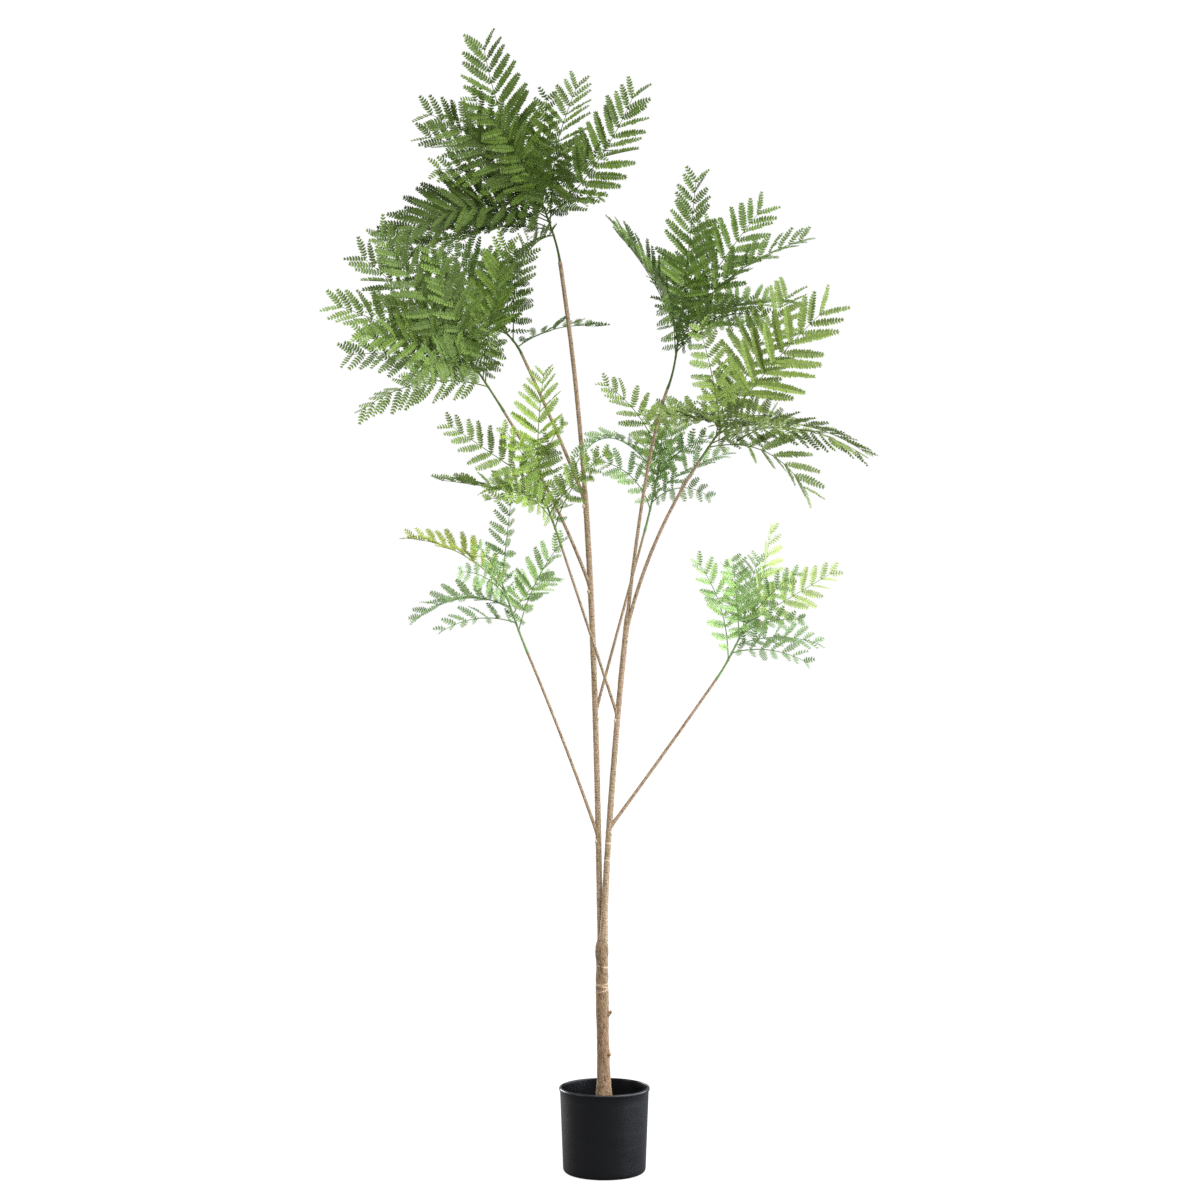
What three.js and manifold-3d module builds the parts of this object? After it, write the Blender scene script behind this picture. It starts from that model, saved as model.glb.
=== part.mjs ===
// Artificial fern tree in a black plastic pot.
// A short rough trunk forks into two tape-wrapped stems, seven boughs leave them, and nine green
// sprays of twice-divided fronds sit on the tips.
// Millimetres. X runs to the right, Y away from the viewer, Z up. The origin is the middle of the
// pot's underside.
import * as THREE from 'three';
import { mergeVertices } from 'three/addons/utils/BufferGeometryUtils.js';
import Module from 'manifold-3d';

const wasm = await Module();
wasm.setup();

// Pot and its filling
const GAP = 0.3;
const POT_HEIGHT = 134;
const POT_BASE_RADIUS = 65;
const POT_TOP_RADIUS = 70;
const POT_RIM_RADIUS = 71.5;
const POT_RIM_HEIGHT = 5;
const POT_FOOT_ROUND = 7;
const POT_WALL = 2;
const POT_SEGMENTS = 36;
const FILL_BELOW_RIM = 30;

// Trunk
const TRUNK_TOP = 366;
const TRUNK_RADIUS = 9.6;
const FLARE = 7.5;
const FLARE_HEIGHT = 24;
const TRUNK_SIDES = 14;
const STUBS = [
  { height: 181, clock: 60, lean: 25, length: 15.5, radius: 3 },
  { height: 238, clock: 42, lean: 10, length: 22.5, radius: 2.6 },
];

// The two stems as curves from the trunk's top. The radii are at the foot, under and over the fork where
// a bough leaves at that share of the length, and at the tip; the foot swells as well.
const STEMS = {
  left_stem: {
    path: [[-6.5, 4, TRUNK_TOP + GAP], [-15.8, 7, 940], [-31, 2, 1170], [-70, 0, 1434]],
    radii: [4.7, 4.5, 3.5, 3.3],
    fork: 0.65,
    swelling: 0,
  },
  right_stem: {
    path: [[-1, -2.5, TRUNK_TOP + GAP], [0, -2.5, 480], [39.3, -8, 1080], [100, -8, 1235]],
    radii: [5, 4.4, 2.9, 2.3],
    fork: 0.575,
    swelling: 2.2,
  },
};
const SWELLING_SHARE = 0.036;

// Boughs: the stem each one leaves, the height it leaves at, its tip, and how far it bows upwards
const BOUGHS = {
  low_left_bough: { stem: 'left_stem', height: 527, tip: [-121.5, -15, 820], bow: 2.6, radii: [2.7, 2.1] },
  low_right_bough: { stem: 'right_stem', height: 541, tip: [176, -25, 778], bow: -1, radii: [2.9, 2.2] },
  middle_left_bough: { stem: 'right_stem', height: 718, tip: [-67, -60, 985], bow: 0, radii: [2.5, 1.9] },
  middle_right_bough: { stem: 'left_stem', height: 722, tip: [65, 45, 1013], bow: 0, radii: [2.5, 1.9] },
  outer_left_bough: { stem: 'left_stem', height: 921, tip: [-157, -70, 1195], bow: 8.5, radii: [2.8, 2.1] },
  upper_left_bough: { stem: 'left_stem', height: 1056, tip: [-132, 25, 1293], bow: 2, radii: [3.1, 2.3] },
  outer_right_bough: { stem: 'right_stem', height: 845, tip: [149, -45, 1119], bow: 14.5, radii: [3.1, 2.3] },
};
const BOUGH_SIDES = 8;

// Sprays. Each stands on a limb's tip with a green stalk [length, clock, lean], and carries fronds
// [clock, lean, length, arch, face] listed upwards from the share `first` of the stalk to its end.
//   clock  direction in the front view, in degrees clockwise from straight up
//   lean   degrees towards the viewer
//   arch   how far the rachis bows upwards, as a share of its length
//   face   degrees that the blade is turned up, or down if negative, from showing its full width
const LARGE = { pairs: 8, leafletShare: 0.255 };
const SMALL = { pairs: 7, leafletShare: 0.23 };
const SPRAYS = {
  top_spray: {
    limb: 'left_stem', stalk: [119, -17, 0], first: 0.36, ...LARGE,
    fronds: [
      [-146, 52, 158, 0.1, 75],
      [-103, 8, 240, 0.1, 56],
      [10, 62, 205, 0.12, 10],
      [34, -8, 240, -0.05, 10],
      [-98, -12, 258, 0.155, 20],
      [-52, 15, 228, 0.08, 10],
      [15, -20, 214, 0.03, 12],
      [-15, -60, 210, 0.1, 0],
      [-21, 3, 238, -0.05, 5],
    ],
  },
  upper_left_spray: {
    limb: 'upper_left_bough', stalk: [75, -40, 0], first: 0.15, ...LARGE,
    fronds: [
      [73, -20, 138, 0.09, 74],
      [4, 45, 150, 0.1, 15],
      [-85, -35, 225, 0.1, 20],
      [-58, -10, 220, 0.06, 20],
      [-38, 40, 185, 0.08, 15],
      [-4, -50, 185, 0.1, 10],
    ],
  },
  outer_left_spray: {
    limb: 'outer_left_bough', stalk: [95, -33, 8], first: 0.45, ...LARGE,
    fronds: [
      [-101, 12, 194, 0.12, -50],
      [9, 10, 208, 0.05, 30],
      [15, 66, 150, 0.1, 10],
      [-100, 58, 180, 0.12, 15],
      [-84, 18, 198, 0.06, 15],
      [-66, 5, 224, 0.02, 10],
      [-46, 2, 230, 0.02, 12],
      [-36, 18, 230, 0, 25],
    ],
  },
  upper_right_spray: {
    limb: 'right_stem', stalk: [112, 11, 0], first: 0.45, ...LARGE,
    fronds: [
      [-12, 66, 195, 0.12, 10],
      [72, 48, 195, 0.12, 25],
      [62, -35, 235, 0.1, 45],
      [-27, -12, 215, 0.09, 86],
      [-31, 22, 182, 0.06, 84],
      [53, 8, 236, 0.09, 56],
      [34, -5, 222, 0.02, 10],
      [-8, -55, 215, 0.1, 5],
      [6, 5, 216, 0, 12],
    ],
  },
  outer_right_spray: {
    limb: 'outer_right_bough', stalk: [80, 34, 5], first: 0.3, ...LARGE,
    fronds: [
      [114, 15, 163, 0.17, 56],
      [94, 18, 230, 0.13, -74],
      [82, 58, 195, 0.12, 15],
      [25, -58, 205, 0.1, 5],
      [96, -12, 236, 0.12, 88],
      [-14, 32, 176, 0.06, 20],
      [41, 5, 226, 0.02, 8],
      [-88, 20, 128, 0.03, 56],
      [26, -18, 228, 0.02, 15],
    ],
  },
  middle_left_spray: {
    limb: 'middle_left_bough', stalk: [114, -20, 0], first: 0.25, ...SMALL,
    fronds: [
      [34, 15, 138, 0.1, 30],
      [-58, 52, 128, 0.1, 25],
      [48, 34, 100, 0.1, 30],
      [-70, -48, 150, 0.12, 20],
      [-79, 0, 160, 0.02, 76],
      [-10, 58, 145, 0.12, 15],
      [-56, 8, 164, 0, 12],
      [3, -22, 180, 0.09, 12],
    ],
  },
  low_left_spray: {
    limb: 'low_left_bough', stalk: [118, -20, 5], first: 0.3, ...SMALL,
    fronds: [
      [26, 10, 155, 0.06, 40],
      [-95, 28, 122, 0.1, 60],
      [45, -50, 130, 0.1, 20],
      [-96, -10, 146, 0.145, 62],
      [-58, 50, 122, 0.1, 20],
      [-60, -5, 166, 0.1, 66],
      [7, 20, 146, 0, 36],
    ],
  },
  middle_right_spray: {
    limb: 'middle_right_bough', stalk: [113, 13, 0], first: 0.3, ...SMALL,
    fronds: [
      [-51, 5, 126, 0.17, 20],
      [84, 42, 114, 0.15, 30],
      [59, -18, 140, 0.06, 45],
      [-10, -55, 150, 0.1, 10],
      [23, -15, 136, 0.05, 20],
      [-100, 28, 170, 0.42, 76],
      [58, 0, 94, 0.06, 30],
      [-34, -5, 150, 0.09, 15],
    ],
  },
  low_right_spray: {
    limb: 'low_right_bough', stalk: [114, 28, 5], first: 0.3, ...SMALL,
    fronds: [
      [-17, 10, 158, 0.09, 25],
      [96, 25, 120, 0.09, 45],
      [88, -18, 132, 0.08, 42],
      [-7, 35, 148, 0.06, 18],
      [15, -40, 150, 0.06, 15],
      [59, 5, 152, 0, 15],
      [14, -6, 135, -0.03, -48],
    ],
  },
};
const STALK_RADII = [1.9, 1.2];
const STALK_SIDES = 6;

// Frond: bare share of the rachis, a leaflet's half width and droop as shares of its length, the
// blade's fold towards its face, the leaflets' angle to the rachis in degrees, and rib size
const BARE_SHARE = 0.2;
const LEAFLET_HALF_WIDTH = 0.15;
const LEAFLET_DROOP = 0.06;
const FOLD = THREE.MathUtils.degToRad(16);
const SWEEP_AT_ROOT = 74;
const SWEEP_AT_TIP = 38;
const RIB_HALF_WIDTH = 1.2;
const RIB_HALF_THICKNESS = 0.9;
const KEEP_CLEAR = 0.8;

const COLOURS = {
  pot: 0x26272a,
  fill: 0x2b2622,
  trunk: 0x937a5e,
  stem: 0xa88f72,
  top_spray: 0x4e6030,
  upper_left_spray: 0x6a7e42,
  outer_left_spray: 0x768748,
  upper_right_spray: 0x677a45,
  outer_right_spray: 0x7d9350,
  middle_left_spray: 0x93ab62,
  low_left_spray: 0x97b573,
  middle_right_spray: 0x93ac70,
  low_right_spray: 0x9bbd78,
};

const UP = new THREE.Vector3(0, 0, 1);
const VIEWER = new THREE.Vector3(0, -1, 0);

function direction(clock, lean) {
  const turn = THREE.MathUtils.degToRad(clock);
  const tilt = THREE.MathUtils.degToRad(lean);
  return new THREE.Vector3(
    Math.sin(turn) * Math.cos(tilt),
    -Math.sin(tilt),
    Math.cos(turn) * Math.cos(tilt),
  );
}

function squareTo(vector, axis) {
  return vector.clone().addScaledVector(axis, -vector.dot(axis)).normalize();
}

// A closed geometry as a solid that can be joined and cut.
function solidOf(geometry) {
  const bare = geometry.clone();
  bare.deleteAttribute('normal');
  bare.deleteAttribute('uv');
  const merged = mergeVertices(bare, 1e-4);
  return new wasm.Manifold(new wasm.Mesh({
    numProp: 3,
    vertProperties: new Float32Array(merged.attributes.position.array),
    triVerts: new Uint32Array(merged.index.array),
  }));
}

function geometryOf(solid) {
  const data = solid.getMesh();
  const geometry = new THREE.BufferGeometry();
  geometry.setAttribute('position', new THREE.BufferAttribute(new Float32Array(data.vertProperties), 3));
  geometry.setIndex(new THREE.BufferAttribute(new Uint32Array(data.triVerts), 1));
  geometry.computeVertexNormals();
  return geometry;
}

function facets(points, triangles) {
  const geometry = new THREE.BufferGeometry().setFromPoints(points);
  geometry.setIndex(triangles.flat());
  return geometry;
}

// Rings of points joined into a closed skin with flat ends.
function loft(rings) {
  const sides = rings[0].length;
  const triangles = [];
  for (let i = 0; i + 1 < rings.length; i++) {
    for (let k = 0; k < sides; k++) {
      const next = (k + 1) % sides;
      const a = i * sides + k;
      const b = i * sides + next;
      triangles.push([a, b, b + sides], [a, b + sides, a + sides]);
    }
  }
  const last = (rings.length - 1) * sides;
  for (let k = 1; k + 1 < sides; k++) {
    triangles.push([0, k + 1, k], [last, last + k, last + k + 1]);
  }
  return facets(rings.flat(), triangles);
}

// A round limb along a curve, with its radius as a function of the share of the way along it.
function limb(curve, radiusAt, sides, steps) {
  const frames = curve.computeFrenetFrames(steps);
  const rings = [];
  for (let i = 0; i <= steps; i++) {
    const centre = curve.getPointAt(i / steps);
    const radius = radiusAt(i / steps);
    const ring = [];
    for (let k = 0; k < sides; k++) {
      const angle = (2 * Math.PI * k) / sides;
      const point = centre.clone();
      point.addScaledVector(frames.normals[i], radius * Math.cos(angle));
      point.addScaledVector(frames.binormals[i], radius * Math.sin(angle));
      ring.push(point);
    }
    rings.push(ring);
  }
  return solidOf(loft(rings));
}

function cubic(points) {
  return new THREE.CubicBezierCurve3(...points.map((p) => new THREE.Vector3(...p)));
}

function taper([first, last], extra = 0) {
  return (u) => THREE.MathUtils.lerp(first, last, u) + extra;
}

function pointAtHeight(curve, height) {
  let low = 0;
  let high = 1;
  for (let i = 0; i < 40; i++) {
    const middle = (low + high) / 2;
    if (curve.getPoint(middle).z < height) low = middle;
    else high = middle;
  }
  return curve.getPoint(low);
}

function largestPiece(solid) {
  const pieces = solid.decompose();
  return pieces.reduce((best, piece) => (piece.volume() > best.volume() ? piece : best));
}

const tree = new THREE.Group();

function addNode(name, geometry, colour, roughness) {
  const material = new THREE.MeshStandardMaterial({ color: colour, roughness, metalness: 0 });
  const mesh = new THREE.Mesh(geometry, material);
  mesh.name = name;
  tree.add(mesh);
}

// Pot: a thin tapered shell with a rounded foot and a slim lip.
function wallRadius(height) {
  const share = height / (POT_HEIGHT - POT_RIM_HEIGHT);
  return THREE.MathUtils.lerp(POT_BASE_RADIUS, POT_TOP_RADIUS, share);
}

function turned(profile) {
  const points = profile.map(([radius, height]) => new THREE.Vector2(radius, height));
  const geometry = new THREE.LatheGeometry(points, POT_SEGMENTS);
  geometry.rotateX(Math.PI / 2);
  return geometry;
}

function potProfile() {
  const foot = [];
  for (let i = 0; i <= 4; i++) {
    const angle = (Math.PI / 2) * (i / 4);
    foot.push([
      wallRadius(POT_FOOT_ROUND) - POT_FOOT_ROUND * (1 - Math.sin(angle)),
      POT_FOOT_ROUND * (1 - Math.cos(angle)),
    ]);
  }
  const shoulder = POT_HEIGHT - POT_RIM_HEIGHT;
  return [
    [0, 0],
    ...foot,
    [wallRadius(shoulder), shoulder],
    [POT_RIM_RADIUS, shoulder + 1],
    [POT_RIM_RADIUS, POT_HEIGHT - 0.8],
    [POT_RIM_RADIUS - 0.8, POT_HEIGHT],
    [POT_TOP_RADIUS - POT_WALL + 0.6, POT_HEIGHT],
    [POT_TOP_RADIUS - POT_WALL, POT_HEIGHT - 0.8],
    [wallRadius(POT_FOOT_ROUND) - POT_WALL, POT_FOOT_ROUND],
    [wallRadius(0) - POT_FOOT_ROUND, POT_WALL],
    [0, POT_WALL],
  ];
}

function fillProfile() {
  const top = POT_HEIGHT - FILL_BELOW_RIM;
  const side = POT_WALL + GAP;
  return [
    [0, POT_WALL + GAP],
    [wallRadius(0) - POT_FOOT_ROUND - GAP, POT_WALL + GAP],
    [wallRadius(POT_FOOT_ROUND) - side - 0.2, POT_FOOT_ROUND],
    [wallRadius(top) - side - 0.2, top],
    [0, top],
  ];
}

addNode('pot', turned(potProfile()), COLOURS.pot, 0.45);
addNode('pot_fill', turned(fillProfile()), COLOURS.fill, 0.95);

// Trunk: flared at the ground, with two cut twig stubs.
const trunkFoot = POT_HEIGHT - FILL_BELOW_RIM + GAP;
const trunkCurve = cubic([[-0.8, 0, trunkFoot], [-0.8, 0, 190], [-4.6, 0, 270], [-4, 0, TRUNK_TOP]]);

function trunkRadius(u) {
  const height = u * (TRUNK_TOP - trunkFoot);
  return TRUNK_RADIUS + FLARE * Math.exp(-height / FLARE_HEIGHT);
}

function stub({ height, clock, lean, length, radius }) {
  const from = pointAtHeight(trunkCurve, height);
  const to = from.clone().addScaledVector(direction(clock, lean), length);
  return limb(new THREE.LineCurve3(from, to), taper([radius, radius * 0.8]), 6, 1);
}

const trunk = STUBS.reduce((sum, row) => sum.add(stub(row)), limb(trunkCurve, trunkRadius, TRUNK_SIDES, 14));
addNode('trunk', geometryOf(trunk), COLOURS.trunk, 0.9);

// Stems: the left one is cut to lie against the right one's foot.
const curves = {};
const limbSolids = [trunk];

function stemRadius({ radii: [foot, under, over, tip], fork, swelling }, extra = 0) {
  return (u) => {
    const plain = u < fork
      ? THREE.MathUtils.mapLinear(u, 0, fork, foot, under)
      : THREE.MathUtils.mapLinear(u, fork, 1, over, tip);
    return plain + swelling * Math.exp(-u / SWELLING_SHARE) + extra;
  };
}

for (const [name, row] of Object.entries(STEMS)) {
  curves[name] = cubic(row.path);
}
const rightStem = limb(curves.right_stem, stemRadius(STEMS.right_stem), 10, 18);
const rightStemRoom = limb(curves.right_stem, stemRadius(STEMS.right_stem, GAP), 10, 18);
const leftStem = largestPiece(
  limb(curves.left_stem, stemRadius(STEMS.left_stem), 10, 18).subtract(rightStemRoom),
);
addNode('left_stem', geometryOf(leftStem), COLOURS.stem, 0.85);
addNode('right_stem', geometryOf(rightStem), COLOURS.stem, 0.85);
limbSolids.push(leftStem, rightStem);

// Boughs: tapering limbs cut to meet their stem's surface.
for (const [name, row] of Object.entries(BOUGHS)) {
  const from = pointAtHeight(curves[row.stem], row.height);
  const to = new THREE.Vector3(...row.tip);
  const chord = to.clone().sub(from);
  const rise = squareTo(UP, chord.clone().normalize()).multiplyScalar(row.bow * 4 / 3);
  const first = from.clone().addScaledVector(chord, 1 / 3).add(rise);
  const second = from.clone().addScaledVector(chord, 2 / 3).add(rise);
  curves[name] = new THREE.CubicBezierCurve3(from, first, second, to);
  const room = limb(curves[row.stem], stemRadius(STEMS[row.stem], GAP), 10, 18);
  const bough = largestPiece(limb(curves[name], taper(row.radii), BOUGH_SIDES, 8).subtract(room));
  addNode(name, geometryOf(bough), COLOURS.stem, 0.85);
  limbSolids.push(bough);
}

// The line of a frond's rachis, with the blade's frame at any share t of the way along it.
function rachis(root, [clock, lean, length, arch, face]) {
  const along = direction(clock, lean);
  const rise = squareTo(UP, along).multiplyScalar(4 * arch * length);
  const broad = squareTo(VIEWER, along);
  const edge = along.clone().cross(broad);
  if (edge.z < 0) edge.negate();
  const turn = THREE.MathUtils.degToRad(face);
  const normal = broad.multiplyScalar(Math.cos(turn)).addScaledVector(edge, Math.sin(turn));
  return (t) => {
    const point = root.clone().addScaledVector(along, t * length).addScaledVector(rise, t * (1 - t));
    const tangent = along.clone().multiplyScalar(length).addScaledVector(rise, 1 - 2 * t).normalize();
    const up = squareTo(normal, tangent);
    const side = tangent.clone().cross(up);
    return { point, tangent, up, side };
  };
}

// Leaflets are longest at two fifths of the leafy part, and shorter towards both ends.
function leafletShape(s) {
  const loss = s < 0.4 ? 0.28 * ((0.4 - s) / 0.4) ** 2 : 0.45 * ((s - 0.4) / 0.6) ** 1.5;
  return 1 - loss;
}

// One leaflet's outline: the lower belly, the tip and the upper belly, on one hand of the rachis.
function leafletOutline({ point, tangent, up, side }, longest, s, hand) {
  const sweep = THREE.MathUtils.degToRad(THREE.MathUtils.lerp(SWEEP_AT_ROOT, SWEEP_AT_TIP, s));
  const outward = side.clone().multiplyScalar(hand * Math.cos(FOLD)).addScaledVector(up, Math.sin(FOLD));
  const along = tangent.clone().multiplyScalar(Math.cos(sweep)).addScaledVector(outward, Math.sin(sweep));
  const across = outward.clone().multiplyScalar(Math.cos(sweep)).addScaledVector(tangent, -Math.sin(sweep));
  const size = longest * leafletShape(s);
  const half = LEAFLET_HALF_WIDTH * size;
  const belly = point.clone().addScaledVector(along, 0.45 * size);
  const root = point.clone().addScaledVector(along, 0.12 * size);
  return {
    low: belly.clone().addScaledVector(across, half),
    tip: point.clone().addScaledVector(along, size).addScaledVector(UP, -LEAFLET_DROOP * size),
    high: belly.clone().addScaledVector(across, -half),
    rootLow: root.clone().addScaledVector(across, 0.3 * half),
    rootHigh: root.clone().addScaledVector(across, -0.3 * half),
  };
}

// The room one leaflet takes up, a little thicker than the leaflet itself.
function leafletRoom(outline, up, hand) {
  const ring = [outline.rootLow, outline.low, outline.tip, outline.high, outline.rootHigh];
  if (hand < 0) ring.reverse();
  const lower = ring.map((p) => p.clone().addScaledVector(up, -KEEP_CLEAR));
  const upper = ring.map((p) => p.clone().addScaledVector(up, KEEP_CLEAR));
  return solidOf(loft([lower, upper]));
}

function ribRoom(frame) {
  const reach = RIB_HALF_WIDTH + 0.5;
  const rings = [];
  for (let i = 0; i <= 6; i++) {
    const { point, up, side } = frame(0.06 + (0.94 * i) / 6);
    rings.push([
      point.clone().addScaledVector(side, reach),
      point.clone().addScaledVector(up, -reach),
      point.clone().addScaledVector(side, -reach),
      point.clone().addScaledVector(up, reach),
    ]);
  }
  return solidOf(loft(rings));
}

// Space already taken; a leaflet that would touch another frond or a limb is left out.
const taken = limbSolids.map((solid) => ({ solid, box: solid.boundingBox(), owner: null }));

function take(solid, owner) {
  taken.push({ solid, box: solid.boundingBox(), owner });
}

function boxesMeet(a, b) {
  return [0, 1, 2].every((k) => a.min[k] <= b.max[k] && b.min[k] <= a.max[k]);
}

function isClear(solid, owner) {
  const box = solid.boundingBox();
  return taken.every((other) => (
    other.owner === owner || !boxesMeet(box, other.box) || solid.intersect(other.solid).isEmpty()
  ));
}

// A frond: a thin blade with a ridge along its rachis, cut to the rib between its leaflets.
function frondSolid(frame, longest, pairs, owner) {
  const points = [];
  const triangles = [];
  const vertex = (point) => points.push(point) - 1;
  const station = (t) => {
    const at = frame(t);
    return {
      at,
      top: vertex(at.point.clone().addScaledVector(at.up, RIB_HALF_THICKNESS)),
      bottom: vertex(at.point.clone().addScaledVector(at.up, -RIB_HALF_THICKNESS)),
    };
  };
  const edge = ({ point, side }, hand) => vertex(point.clone().addScaledVector(side, hand * RIB_HALF_WIDTH));
  const skin = (hand, a, b, c) => {
    triangles.push(hand > 0 ? [a, b, c] : [a, c, b]);
  };
  const bothFaces = (hand, from, b, c, onRidge = null) => {
    skin(hand, from.top, b, onRidge ? onRidge.top : c);
    skin(-hand, from.bottom, b, onRidge ? onRidge.bottom : c);
  };

  const spacing = (1 - BARE_SHARE) / (pairs - 1);
  const root = station(0);
  const neck = station(BARE_SHARE - spacing / 2);
  const ridge = [];
  for (let i = 0; i < pairs; i++) ridge.push(station(BARE_SHARE + spacing * i));
  const end = frame(1);
  const tipVertex = vertex(end.point.clone().addScaledVector(end.tangent, 3));

  const rootEdges = [];
  for (const hand of [1, -1]) {
    const rootEdge = edge(root.at, hand);
    rootEdges.push(rootEdge);
    let notch = edge(neck.at, hand);
    bothFaces(hand, root, rootEdge, notch);
    bothFaces(hand, root, notch, null, neck);
    let previous = neck;
    for (let i = 0; i < pairs; i++) {
      const here = ridge[i];
      const s = i / (pairs - 1);
      bothFaces(hand, previous, notch, null, here);
      const outline = leafletOutline(here.at, longest, s, hand);
      const room = leafletRoom(outline, here.at.up, hand);
      const nextNotch = i + 1 < pairs ? edge(frame(BARE_SHARE + spacing * (i + 0.5)), hand) : tipVertex;
      if (isClear(room, owner)) {
        take(room, owner);
        const [low, tip, high] = [outline.low, outline.tip, outline.high].map(vertex);
        bothFaces(hand, here, notch, low);
        bothFaces(hand, here, low, tip);
        bothFaces(hand, here, tip, high);
        bothFaces(hand, here, high, nextNotch);
      } else {
        bothFaces(hand, here, notch, nextNotch);
      }
      previous = here;
      notch = nextNotch;
    }
  }
  triangles.push([root.top, rootEdges[1], root.bottom], [root.top, root.bottom, rootEdges[0]]);
  return solidOf(facets(points, triangles));
}

// Sprays: every stalk and rachis is placed first, then the fronds are filled in.
const sprays = Object.entries(SPRAYS).map(([name, row]) => {
  const [length, clock, lean] = row.stalk;
  const tip = curves[row.limb].getPoint(1);
  const limbEnd = curves[row.limb].getTangent(1);
  const heading = direction(clock, lean);
  const foot = tip.clone().addScaledVector(limbEnd, GAP);
  const end = tip.clone().addScaledVector(heading, length);
  const curve = new THREE.CubicBezierCurve3(
    foot,
    foot.clone().addScaledVector(limbEnd, length / 3),
    end.clone().addScaledVector(heading, -length / 3),
    end,
  );
  const stalkSolid = limb(curve, taper(STALK_RADII), STALK_SIDES, 5);
  take(stalkSolid, name);
  const places = row.fronds.map((frond, i) => {
    const share = THREE.MathUtils.lerp(row.first, 0.97, i / (row.fronds.length - 1));
    const owner = `${name} frond ${i}`;
    const frame = rachis(curve.getPointAt(share), frond);
    take(ribRoom(frame), owner);
    return { frame, owner, longest: row.leafletShare * frond[2] };
  });
  return { name, stalkSolid, pairs: row.pairs, places };
});

for (const { name, stalkSolid, pairs, places } of sprays) {
  const fronds = places.map(({ frame, owner, longest }) => frondSolid(frame, longest, pairs, owner));
  const spray = fronds.reduce((sum, frond) => sum.add(frond), stalkSolid);
  addNode(name, geometryOf(spray), COLOURS[name], 0.6);
}

export default tree;
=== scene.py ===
"""Looks of an artificial fern tree in a black plastic pot.

The limbs follow the same curves as the solids and carry bark relief and wrapped tape. Every spray is
grown again on the same rachis lines, carried on to side ribs and small leaflets.
Sizes are millimetres, turned into metres when a mesh is made; the studio is set out in metres.
"""

import math
from collections import namedtuple

import bpy
import numpy as np
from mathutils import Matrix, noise


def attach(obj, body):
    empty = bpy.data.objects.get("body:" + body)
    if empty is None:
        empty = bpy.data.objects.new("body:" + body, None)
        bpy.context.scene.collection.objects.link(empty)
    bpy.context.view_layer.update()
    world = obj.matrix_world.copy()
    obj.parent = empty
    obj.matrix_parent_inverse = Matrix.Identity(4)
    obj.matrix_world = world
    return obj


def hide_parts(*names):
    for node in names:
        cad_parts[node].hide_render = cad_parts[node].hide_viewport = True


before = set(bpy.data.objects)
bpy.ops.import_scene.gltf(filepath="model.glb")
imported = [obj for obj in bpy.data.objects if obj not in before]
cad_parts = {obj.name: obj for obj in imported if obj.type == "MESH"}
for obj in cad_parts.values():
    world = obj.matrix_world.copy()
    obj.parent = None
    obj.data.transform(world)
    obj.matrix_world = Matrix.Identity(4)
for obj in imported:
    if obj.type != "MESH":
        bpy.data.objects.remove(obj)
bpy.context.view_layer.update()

MM = 0.001
UP = np.array([0.0, 0.0, 1.0])
VIEWER = np.array([0.0, -1.0, 0.0])
WHITE = (1, 1, 1, 1)
SEED = 20

# Pot and its filling
POT_HEIGHT = 134
POT_BASE_RADIUS = 65
POT_TOP_RADIUS = 70
POT_RIM_RADIUS = 71.5
POT_RIM_HEIGHT = 5
POT_FOOT_ROUND = 7
POT_WALL = 2
POT_SEGMENTS = 144
UNDERSIDE_RINGS = [20, 45]
WALL_ABOVE_FOOT = 6
WALL_BELOW_LIP = 1.5
LIP_ROUND = 2.1
LIP_EDGE_ROUND = 1
FILL_BELOW_RIM = 30
FILL_MIDDLE_RADIUS = 1.5
FILL_GAP = 0.5
FILL_LIFT = 0.3
FILL_BEVEL = 6
FILL_RELIEF = 1.4
FILL_LUMP_SIZE = 9
FILL_CRUMB_SIZE = 3
FILL_CRUMBS = 0.6
FILL_SETTLING = 0.4

# Trunk, from just over the filling to the fork
TRUNK_GAP = 0.3
TRUNK_TOP = 366
TRUNK_FOOT = POT_HEIGHT - FILL_BELOW_RIM + TRUNK_GAP
TRUNK_PATH = [[-0.8, 0, TRUNK_FOOT], [-0.8, 0, 190], [-4.6, 0, 270], [-4, 0, TRUNK_TOP]]
TRUNK_RADIUS = 9.6
TRUNK_SIDES = 72
FLARE = 7.5
FLARE_HEIGHT = 24
SHOULDER = 16
SHOULDER_LOSS = 0.3
TRUNK_BULGES = [
    {"height": 268, "size": 0.7, "reach": 22},
    {"height": 324, "size": -0.7, "reach": 14},
    {"height": 346, "size": 0.6, "reach": 9},
]

# Bark of the trunk: the size of each kind of lump, how far it stands out and how dark the painted shade in
# its low spots is
SWELL_SIZE = (12, 12, 26)
SWELL_RELIEF = 0.7
PLATE_SIZE = (4.5, 4.5, 13)
PLATE_RELIEF = 0.6
PLATE_SHADE = 0.9
WRINKLE_SIZE = (1.8, 1.8, 5)
WRINKLE_RELIEF = 0.35
WRINKLE_SHADE = 0.6

# Pale rings of twine round the trunk, broken where the bark's plates lie low
TWINE_RELIEF = 0.35
TWINE_REACH = 1.0
TWINE_WANDER = 0.8
TWINE_COVER = 0.7
TWINE_BREAKS = 1.2
TWINE_RINGS = [
    {"height": 286, "tilt": 0.32},
    {"height": 292, "tilt": -0.24},
    {"height": 296, "tilt": 0.1},
    {"height": 323, "tilt": -0.12},
]

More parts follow.
